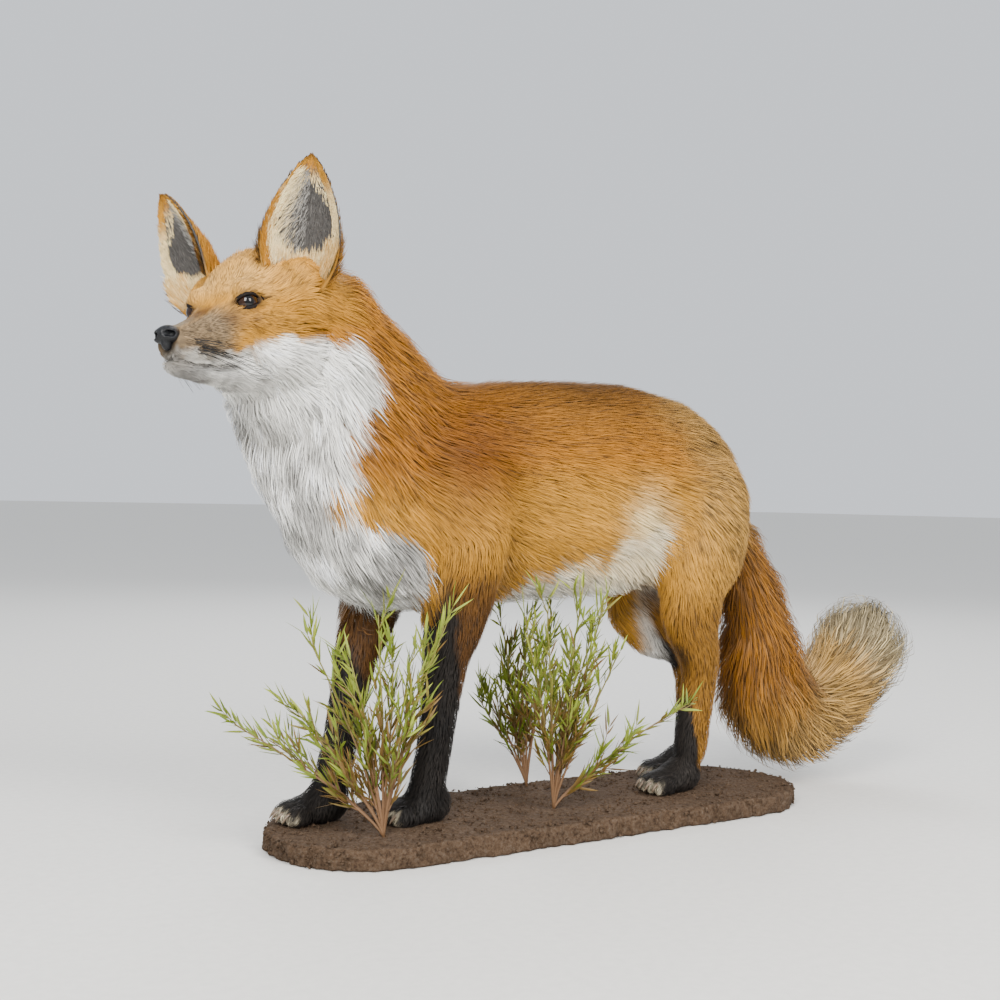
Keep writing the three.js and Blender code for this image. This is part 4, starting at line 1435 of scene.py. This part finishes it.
def swept(path, radii, sides, start=0):
    """Points and faces of a closed round body along a path."""
    path = np.asarray(path, float)
    run = unit(np.gradient(path, axis=0))
    across = unit(np.cross(run, rows(0.31, 0.23, 0.92)))
    above = np.cross(run, across)
    turn = np.linspace(0, 2 * math.pi, sides, endpoint=False)
    ring = across[:, None] * np.cos(turn)[:, None] + above[:, None] * np.sin(turn)[:, None]
    points = (path[:, None] + ring * np.asarray(radii)[:, None, None]).reshape(-1, 3)
    index = np.arange(len(path) * sides).reshape(len(path), sides) + start
    after = np.roll(index, -1, 1)
    walls = np.stack([index[:-1], after[:-1], after[1:], index[1:]], -1).reshape(-1, 4)
    points = np.vstack([points, path[0], path[-1]])
    first, last = start + len(path) * sides, start + len(path) * sides + 1
    caps = np.vstack([
        np.stack([np.full(sides, first), after[0], index[0]], -1),
        np.stack([np.full(sides, last), index[-1], after[-1]], -1),
    ])
    return points, walls, caps


def swept_piece(name, paths, sides):
    """Many swept bodies in one mesh, each from a path and the radius at each of its points."""
    bodies, start = [], 0
    for path, radii in paths:
        bodies.append(swept(path, radii, sides, start))
        start += len(bodies[-1][0])
    points, walls, caps = (np.vstack(part) for part in zip(*bodies))
    return mesh_piece(name, points, [walls, caps])


def make_claws():
    paths = []
    for name in PAWS:
        for place in toe_places(name):
            t = np.linspace(0, 1, 7)
            x = place[0] - 8.5 - 8.2 * t
            z = place[2] + 1.5 + 2.2 * t - 8.4 * t**2
            path = np.stack([x, np.full(len(t), place[1]), np.maximum(z, SOIL + 1.0)], -1)
            paths.append((path, 2.0 * (1 - t) ** 0.8 + 0.35))
    return swept_piece("claws", paths, 8)


WHISKER_ROWS = [(68, -30), (62, -32), (56, -35), (65, -36), (58, -39), (50, -38)]


def make_whiskers():
    rng = np.random.default_rng(71)
    paths = []
    for hand in (1, -1):
        for x, z in WHISKER_ROWS:
            for _ in range(3):
                root = rows(x + rng.normal(0, 1.2), hand * (9.5 + (66 - x) * 0.25), z + rng.normal(0, 0.8))
                long = rng.uniform(42, 66)
                t = np.linspace(0, 1, 9)[:, None]
                out = rows(-0.86, hand * rng.uniform(0.34, 0.62), rng.uniform(-0.30, 0.02))
                path = root + unit(out) * long * t + rows(-4, -hand * 6, -9) * t**2
                paths.append((from_head(path), 0.26 * (1 - t[:, 0]) + 0.07))
    return swept_piece("whiskers", paths, 5)


# ---- the soil-covered plaque ----
SOIL_GRAIN = Cloud(4.5, 31)
SOIL_LUMPS = Cloud(16, 32)


def plaque_reach():
    """Half the length of the plaque's straight middle, and the radius of its round ends."""
    low, high = box_of("plaque")
    radius = (high[1] - low[1]) / 2
    return (high[0] - low[0]) / 2 - radius, radius


def plaque_edge(p):
    """Distance out from the plaque's upright rim."""
    half, radius = plaque_reach()
    past = np.maximum(np.abs(p[..., 0]) - half, 0)
    return np.hypot(past, p[..., 1]) - radius


def make_soil():
    low, high = box_of("plaque")
    low, high, cell = low - 4, high + 4, 2.6
    p = grid_points(low, high, cell)
    flat = p * rows(1, 1, 0.6)
    rough = 0.9 * SOIL_GRAIN(flat) + 1.0 * SOIL_LUMPS(p)
    edge = plaque_edge(p) + 2.4 + 1.8 * SOIL_GRAIN(p) + 1.1 * SOIL_LUMPS(p)
    top = p[..., 2] - SOIL + 0.4 - 0.75 * rough
    made = -melt(-edge, -top, 3.0)
    made = np.maximum(made, 0.3 - p[..., 2])
    points, faces = Solid(low, cell, made).surface()
    return mesh_piece("soil_bed", points, faces)


LUMP = rows((1, 0, 0), (-1, 0, 0), (0, 1, 0), (0, -1, 0), (0, 0, 1), (0, 0, -1))
LUMP_FACES = np.array([
    (0, 2, 4), (2, 1, 4), (1, 3, 4), (3, 0, 4),
    (2, 0, 5), (1, 2, 5), (3, 1, 5), (0, 3, 5),
])


def make_crumbs(count=5200):
    """Lumps of soil, most of them on the plaque's top and the others on its rim."""
    rng = np.random.default_rng(41)
    half, radius = plaque_reach()
    tries = rng.uniform((-half - radius, -radius, 0), (half + radius, radius, 1), (count * 2, 3))
    tries = tries[plaque_edge(tries) < -2.5][: int(count * 0.6)]
    tries[:, 2] = SOIL + 0.1
    angle = rng.uniform(0, 2 * math.pi, count - len(tries))
    across, forth, height = np.cos(angle), np.sin(angle), rng.uniform(2, SOIL - 1, len(angle))
    rim = np.stack([across * radius, forth * radius, height], -1)
    slide = rng.uniform(-half, half, len(angle))
    rim[:, 0] += np.where(np.abs(across) < 0.6, slide, np.sign(across) * half)
    rim[:, :2] *= 0.992
    at = np.vstack([tries, rim])
    size = rng.gamma(2.2, 0.42, len(at)).clip(0.4, 2.6)[:, None, None]
    size = size * rng.uniform(0.6, 1.3, (len(at), len(LUMP), 1))
    turn = rng.normal(size=(len(at), 3, 3))
    turn, _ = np.linalg.qr(turn)
    turn[np.linalg.det(turn) < 0] *= -1
    points = at[:, None] + (LUMP[None] * size * rows(1, 1, 0.7)) @ turn
    points[..., 2] = np.maximum(points[..., 2], 0.4)
    faces = (LUMP_FACES[None] + len(LUMP) * np.arange(len(at))[:, None, None]).reshape(-1, 3)
    return mesh_piece("soil_crumbs", points.reshape(-1, 3), [faces], smooth=False)


# ---- the plants: wiry stems from one root, with twigs and narrow leaves ----
# Each plant: its root on the plaque [X, Y], and its stems' tips as [X, Y, height] from there.
PLANTS = {
    "plant_front": ((-195, -43), [(34, -30, 168), (10, -26, 150), (-10, -4, 176), (-30, 4, 140),
                                  (-56, 30, 158), (-104, 58, 88), (-64, 26, 100)]),
    "plant_middle": ((-18, -29), [(-56, -32, 172), (-36, -34, 186), (-4, -40, 194), (22, -42, 186),
                                  (46, -34, 138), (108, -52, 92), (12, -10, 130)]),
    "plant_back": ((20, 66), [(-26, 16, 160), (-44, 22, 98), (4, 14, 158), (26, -6, 164), (-12, 22, 128)]),
}
STEM_GREEN, STEM_BROWN = paint("#7a7638"), paint("#6f5238")
LEAF_GREEN, LEAF_YELLOW, LEAF_RED, LEAF_DARK = (
    paint("#6d8120"), paint("#97a035"), paint("#6e4628"), paint("#4d581c"))


def stem_place(root, tip, t):
    out = np.sign(t) * np.abs(t) ** 1.25
    return np.stack([root[0] + tip[0] * out, root[1] + tip[1] * out, SOIL + 0.4 + tip[2] * t], -1)


def make_plant(name, seed):
    root, tips = PLANTS[name]
    rng = np.random.default_rng(seed)
    wander = Cloud(30, seed)
    sides = [corner[1] for corner in box_of("plaque")]
    last = 15  # number of a stem's last point
    paths, leaves = [], []
    lesser = [rows(*tip) * rng.uniform(0.55, 0.85) + rows(*rng.normal(0, 7, 2), 0) for tip in tips]
    for tip in [*tips, *lesser]:
        t = np.linspace(-0.02, 1, last + 1)
        path = stem_place(root, tip, t)
        path[:, :2] += 1.6 * np.stack([wander(path), wander(path + 99)], -1) * np.clip(t, 0, 1)[:, None]
        path[:, 1] = np.clip(path[:, 1], *sides)
        paths.append((path, 1.25 - 0.8 * np.clip(t, 0, 1)))
        for at in np.linspace(0.3, 0.96, 5) + rng.uniform(-0.05, 0.03, 5):
            k = int(at * last)
            start = path[k]
            run = unit(path[min(k + 1, last)] - path[k - 1])
            side = unit(np.cross(run, rng.normal(size=3)))
            long = rng.uniform(16, 34) * (1.15 - 0.4 * at)
            s = np.linspace(0, 1, 6)[:, None]
            twig = start + unit(0.9 * run + 0.5 * side) * long * s + rows(0, 0, 5) * s**2
            twig[:, 1] = np.clip(twig[:, 1], *sides)
            paths.append((twig, 0.62 - 0.36 * s[:, 0]))
            for share in np.linspace(0.25, 1, 5):
                leaves.append((mix(twig[0], twig[-1], share), unit(twig[-1] - twig[0]), at))
        for at in np.linspace(0.36, 1.0, 12):
            k = min(int(at * last), last)
            leaves.append((path[k], unit(path[k] - path[k - 1]), at))
    stems = swept_piece(name + "_stems", paths, 6)
    at, run, high = (np.repeat(np.array(column), 2, 0) for column in zip(*leaves))
    count = len(at)
    side = unit(np.cross(run, rng.normal(size=(count, 3))))
    way = unit(run * rng.uniform(0.8, 1.3, (count, 1)) + side * rng.uniform(0.25, 0.75, (count, 1)))
    long = rng.uniform(13, 26, count)[:, None]
    curl = unit(np.cross(way, side)) * rng.normal(0, 0.10, (count, 1))
    curl = curl + rows(0, 0, 1) * rng.normal(0, 0.10, (count, 1))
    ends = at + way * long
    way[:, 1] *= np.where((ends[:, 1] < sides[0] - 3) | (ends[:, 1] > sides[1] + 3), -0.6, 1)
    places = [at + (way + curl * s) * long * s for s in (0.28, 0.66, 1.0)]
    for place in places:
        place[:, 1] = np.clip(place[:, 1], sides[0] - 2, sides[1] + 2)
    normals = unit(np.cross(way, unit(np.cross(side, way) + 0.5 * rng.normal(size=(count, 3)))))
    normals *= np.where(normals[:, 2:] < 0, -1, 1)
    broad = rng.uniform(1.7, 2.7, count)
    blades = strand_mesh(name + "_leaves", at, places, normals, broad, 2, flat=0.22, soft=None)
    shade = tint(LEAF_GREEN, LEAF_YELLOW, rng.random(count) * step(0.3, 0.9, high))
    shade = tint(shade, LEAF_DARK, 0.5 * rng.random(count))
    shade = tint(shade, LEAF_RED, np.clip(step(0.72, 0.3, high + 0.25 * rng.normal(size=count)), 0, 1) * 0.8)
    # Each leaf darkens towards its foot and lightens towards its tip and along its upper ridge: painted shade
    # and painted light.
    shade = shade[:, None] * rows(0.7, 0.85, 0.85, 0.95, 1, 1, 1.1, 1.25)[None, :, None]
    add_colours(blades, shade.reshape(-1, 3))
    add_colours(stems, tint(STEM_BROWN, STEM_GREEN, step(60, 160, points_of(stems)[:, 2])))
    return stems, blades


# ---- materials: node groups shared between them, then one material for each finish ----
def node_group(name, sockets_in, sockets_out):
    """An empty group with named sockets; each input is (kind, name, value)."""
    group = bpy.data.node_groups.new(name, "ShaderNodeTree")
    for kind, label, value in sockets_in:
        socket = group.interface.new_socket(label, in_out="INPUT", socket_type="NodeSocket" + kind)
        socket.default_value = value
    for kind, label in sockets_out:
        group.interface.new_socket(label, in_out="OUTPUT", socket_type="NodeSocket" + kind)
    return group, group.nodes.new("NodeGroupInput"), group.nodes.new("NodeGroupOutput")


def add_node(tree, kind, **settings):
    node = tree.nodes.new("ShaderNode" + kind)
    for key, value in settings.items():
        setattr(node, key, value)
    return node


def feed(tree, socket, value):
    """Links another node's output to a socket, or sets a plain value on it."""
    if isinstance(value, bpy.types.NodeSocket):
        tree.links.new(value, socket)
    else:
        socket.default_value = value


def put(tree, node, **inputs):
    """Feeds a node's inputs by name."""
    for key, value in inputs.items():
        feed(tree, node.inputs[key.replace("_", " ")], value)


def math_node(tree, operation, *values):
    node = add_node(tree, "Math", operation=operation)
    for socket, value in zip(node.inputs, values):
        feed(tree, socket, value)
    return node.outputs[0]


def mix_colour(tree, share, a, b):
    node = add_node(tree, "Mix", data_type="RGBA")
    for number, value in ((0, share), (6, a), (7, b)):
        feed(tree, node.inputs[number], value)
    return node.outputs[2]


def position(tree):
    return add_node(tree, "NewGeometry").outputs["Position"]


def distance(tree, a, b):
    """How far off a place is whose two coordinates are given."""
    squares = [math_node(tree, "MULTIPLY", value, value) for value in (a, b)]
    return math_node(tree, "SQRT", math_node(tree, "ADD", *squares))


def soft_step(tree, value, low, high):
    node = add_node(tree, "MapRange", interpolation_type="SMOOTHSTEP")
    put(tree, node, Value=value, From_Min=low, From_Max=high)
    return node.outputs[0]


def noise(tree, vector, scale, detail=2.0, rough=0.5):
    node = add_node(tree, "TexNoise")
    put(tree, node, Vector=vector, Scale=scale, Detail=detail, Roughness=rough)
    return node.outputs[0]


def make_grain_group():
    """Mottles a colour in two sizes and gives a bumped normal."""
    group, start, end = node_group(
        "grain",
        [("Color", "Colour", (0.5, 0.5, 0.5, 1)),
         ("Float", "Fine scale", 900.0), ("Float", "Fine depth", 0.3),
         ("Float", "Broad scale", 40.0), ("Float", "Broad depth", 0.2),
         ("Float", "Bump height", 0.0003)],
        [("Color", "Colour"), ("Float", "Mask"), ("Vector", "Normal")],
    )
    place = position(group)
    fine = noise(group, place, start.outputs["Fine scale"], 3.0, 0.6)
    broad = noise(group, place, start.outputs["Broad scale"], 2.0)
    tones = []
    for pattern, depth in ((fine, "Fine depth"), (broad, "Broad depth")):
        around_zero = math_node(group, "SUBTRACT", pattern, 0.5)
        tones.append(math_node(group, "MULTIPLY_ADD", around_zero, start.outputs[depth], 1.0))
    colour = add_node(group, "VectorMath", operation="SCALE")
    put(group, colour, Vector=start.outputs["Colour"], Scale=math_node(group, "MULTIPLY", *tones))
    bump = add_node(group, "Bump")
    put(group, bump, Height=fine, Distance=start.outputs["Bump height"])
    group.links.new(colour.outputs[0], end.inputs["Colour"])
    group.links.new(fine, end.inputs["Mask"])
    group.links.new(bump.outputs[0], end.inputs["Normal"])
    return group


GRAIN = make_grain_group()


def new_material(name, roughness, **surface):
    made = bpy.data.materials.new(name)
    made.use_nodes = True
    shader = made.node_tree.nodes["Principled BSDF"]
    put(made.node_tree, shader, Roughness=roughness, **surface)
    return made, made.node_tree, shader


def grained(tree, shader, colour, fine, depth, broad, spread, height, bump=True):
    """Gives a shader its colour and normal through the grain group."""
    node = add_node(tree, "Group", node_tree=GRAIN)
    put(tree, node, Colour=colour, Fine_scale=fine, Fine_depth=depth, Broad_scale=broad, Broad_depth=spread,
        Bump_height=height)
    put(tree, shader, Base_Color=node.outputs["Colour"])
    if bump:
        put(tree, shader, Normal=node.outputs["Normal"])
    return node


def marking_and_light_of(tree):
    return add_node(tree, "Attribute", attribute_name="marking_and_painted_light").outputs["Color"]


def coat_material():
    made, tree, shader = new_material(
        "fur", 0.58, Specular_IOR_Level=0.16, Sheen_Weight=0.04, Sheen_Roughness=0.4)
    grained(tree, shader, marking_and_light_of(tree), 1800.0, 0.5, 60.0, 0.22, 0.0, bump=False)
    return made


def hide_material():
    made, tree, shader = new_material("hide", 0.75, Specular_IOR_Level=0.2)
    grained(tree, shader, marking_and_light_of(tree), 1100.0, 0.7, 70.0, 0.25, 0.0006)
    return made


def plant_material(name, roughness):
    made, tree, shader = new_material(name, roughness, Specular_IOR_Level=0.35)
    grained(tree, shader, marking_and_light_of(tree), 700.0, 0.5, 60.0, 0.4, 0.0002)
    return made


def plain_material(name, colour, roughness, fine, depth, height, **surface):
    made, tree, shader = new_material(name, roughness, **surface)
    grained(tree, shader, (*colour, 1), fine, depth, 120.0, 0.15, height)
    return made


def eye_material():
    """A dark upright pupil, a brown streaked iris and a darker rim under a clear polish."""
    made, tree, shader = new_material(
        "glass eye", 0.08, Coat_Weight=1.0, Coat_Roughness=0.01, Coat_IOR=1.42, Specular_IOR_Level=0.0)
    local = add_node(tree, "Attribute", attribute_name="iris").outputs["Vector"]
    parts = add_node(tree, "SeparateXYZ")
    put(tree, parts, Vector=local)
    along, up = parts.outputs["Y"], parts.outputs["Z"]
    upright = distance(tree, math_node(tree, "MULTIPLY", along, 1.35), up)
    beyond_pupil = soft_step(tree, upright, 0.46, 0.55)
    beyond_iris = soft_step(tree, distance(tree, along, up), 0.70, 0.80)
    streak = noise(tree, local, 9.0, 4.0)
    iris = mix_colour(tree, streak, (*paint("#140a04"), 1), (*paint("#331b07"), 1))
    colour = mix_colour(tree, beyond_pupil, (0.002, 0.002, 0.002, 1), iris)
    colour = mix_colour(tree, beyond_iris, colour, (*paint("#120b07"), 1))
    put(tree, shader, Base_Color=colour)
    return made


def nose_material():
    made, tree, shader = new_material("nose leather", 0.38, Specular_IOR_Level=0.3)
    node = grained(tree, shader, (*paint("#0e0f12"), 1), 900.0, 0.5, 150.0, 0.3, 0.0)
    cells = add_node(tree, "TexVoronoi", feature="DISTANCE_TO_EDGE")
    put(tree, cells, Vector=position(tree), Scale=900.0)
    bump = add_node(tree, "Bump")
    put(tree, bump, Height=cells.outputs["Distance"], Distance=0.0003, Normal=node.outputs["Normal"])
    put(tree, shader, Normal=bump.outputs[0])
    return made


def soil_material():
    made, tree, shader = new_material("soil", 0.95, Specular_IOR_Level=0.15)
    lump = noise(tree, position(tree), 330.0, 5.0, 0.75)
    ramp = add_node(tree, "ValToRGB")
    stops = ramp.color_ramp.elements
    stops[0].position, stops[0].color = 0.33, (*paint("#2e231b"), 1)
    stops[1].position, stops[1].color = 0.68, (*paint("#5d5044"), 1)
    middle = stops.new(0.5)
    middle.color = (*paint("#4e3d2e"), 1)
    put(tree, ramp, Fac=lump)
    grained(tree, shader, ramp.outputs[0], 1500.0, 0.9, 30.0, 0.35, 0.0009)
    return made


# ---- putting it together ----
def finished(piece, material):
    piece.data.materials.clear()
    piece.data.materials.append(material)
    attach(piece, "root")
    return piece


def build_fox():
    solids = skin_solids()
    hide = make_skin(solids)
    skin = Skin(solids)
    places = points_of(hide)
    _, middle, _, _ = markings(places)
    # The skin takes the hair's middle colour darkened to 0.62: painted shade down in the coat between the
    # hairs.
    add_colours(hide, ear_markings(places, middle * 0.62))
    finished(hide, hide_material())
    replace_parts(hide, *FLESH, *EARS)
    fur = coat_material()
    for coat in [*make_coats(hide, skin), *make_ear_coats()]:
        finished(coat, fur)
    glass = eye_material()
    dark = plain_material("eyelid skin", paint("#120d0b"), 0.7, 1200.0, 0.4, 0.0002, Specular_IOR_Level=0.15)
    for side in EAR_SIDES:
        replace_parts(finished(make_eye(side), glass), f"eye_{side}")
        finished(make_lid(side), dark)
    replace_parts(finished(make_nose(), nose_material()), "nose")
    claw = plain_material("claw horn", paint("#6d5c4a"), 0.35, 500.0, 0.5, 0.0001)
    finished(make_claws(), claw)
    bristle = plain_material("whisker", paint("#0c0b0a"), 0.35, 600.0, 0.3, 0.0)
    finished(make_whiskers(), bristle)


def build_base():
    earth = soil_material()
    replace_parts(finished(make_soil(), earth), "plaque")
    finished(make_crumbs(), earth)
    stem, leaf = plant_material("stems", 0.6), plant_material("leaves", 0.5)
    for seed, name in enumerate(PLANTS):
        stems, leaves = make_plant(name, 51 + seed)
        nodes = [n for n in sorted(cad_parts) if n.startswith(name)]
        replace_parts(finished(stems, stem), *nodes)
        finished(leaves, leaf)


def light(name, at, towards, size, power, colour):
    lamp = bpy.data.lights.new(name, "AREA")
    lamp.shape, lamp.size, lamp.size_y = "RECTANGLE", *size
    lamp.energy, lamp.color = power, colour
    stand = bpy.data.objects.new(name, lamp)
    bpy.context.collection.objects.link(stand)
    stand.location = at
    stand.rotation_euler = (Vector(towards) - Vector(at)).to_track_quat("-Z", "Y").to_euler()


FLOOR_REACH = 40000  # from the middle of the floor to each of its edges


def build_studio():
    corners = rows((-1, -1, 0), (1, -1, 0), (1, 1, 0), (-1, 1, 0)) * FLOOR_REACH
    floor = mesh_piece("floor", corners, [np.array([(0, 1, 2, 3)])], smooth=False)
    paper = plain_material("pale paper", paint("#dcdad5"), 0.85, 300.0, 0.02, 0.0)
    floor.data.materials.append(paper)
    world = bpy.data.worlds.new("soft room")
    bpy.context.scene.world = world
    world.use_nodes = True
    put(world.node_tree, world.node_tree.nodes["Background"], Color=(0.90, 0.94, 1.0, 1), Strength=1.02)
    fox = (0, 0, 0.25)
    light("window left", (-1.7, -1.5, 1.7), fox, (0.9, 1.5), 96, (1.0, 0.98, 0.95))
    light("window front", (0.2, -2.1, 1.6), fox, (0.9, 1.3), 68, (1.0, 0.98, 0.95))
    light("back light", (1.2, 1.8, 1.9), fox, (1.5, 1.0), 34, (0.95, 0.97, 1.0))


CAMERA_AT = rows(-742.7, -1011.3, 286.4)
CAMERA_LOOK = unit(rows(0.559, 0.829, 0))
CAMERA_ROLL = math.radians(1.1)
CAMERA_LENS, CAMERA_FILM = 50.4, 36


def build_camera():
    look, roll = CAMERA_LOOK, CAMERA_ROLL
    level = np.cross(look, rows(0, 0, 1))
    right = level * math.cos(roll) + rows(0, 0, 1) * math.sin(roll)
    up = rows(0, 0, 1) * math.cos(roll) - level * math.sin(roll)
    camera = bpy.data.objects.new("camera", bpy.data.cameras.new("camera"))
    bpy.context.collection.objects.link(camera)
    camera.data.lens, camera.data.sensor_width = CAMERA_LENS, CAMERA_FILM
    turn = np.eye(4)
    turn[:3, 0], turn[:3, 1], turn[:3, 2] = right, up, -look
    turn[:3, 3] = CAMERA_AT * MM
    camera.matrix_world = Matrix(turn.tolist())
    bpy.context.scene.camera = camera


build_fox()
build_base()
build_studio()
build_camera()
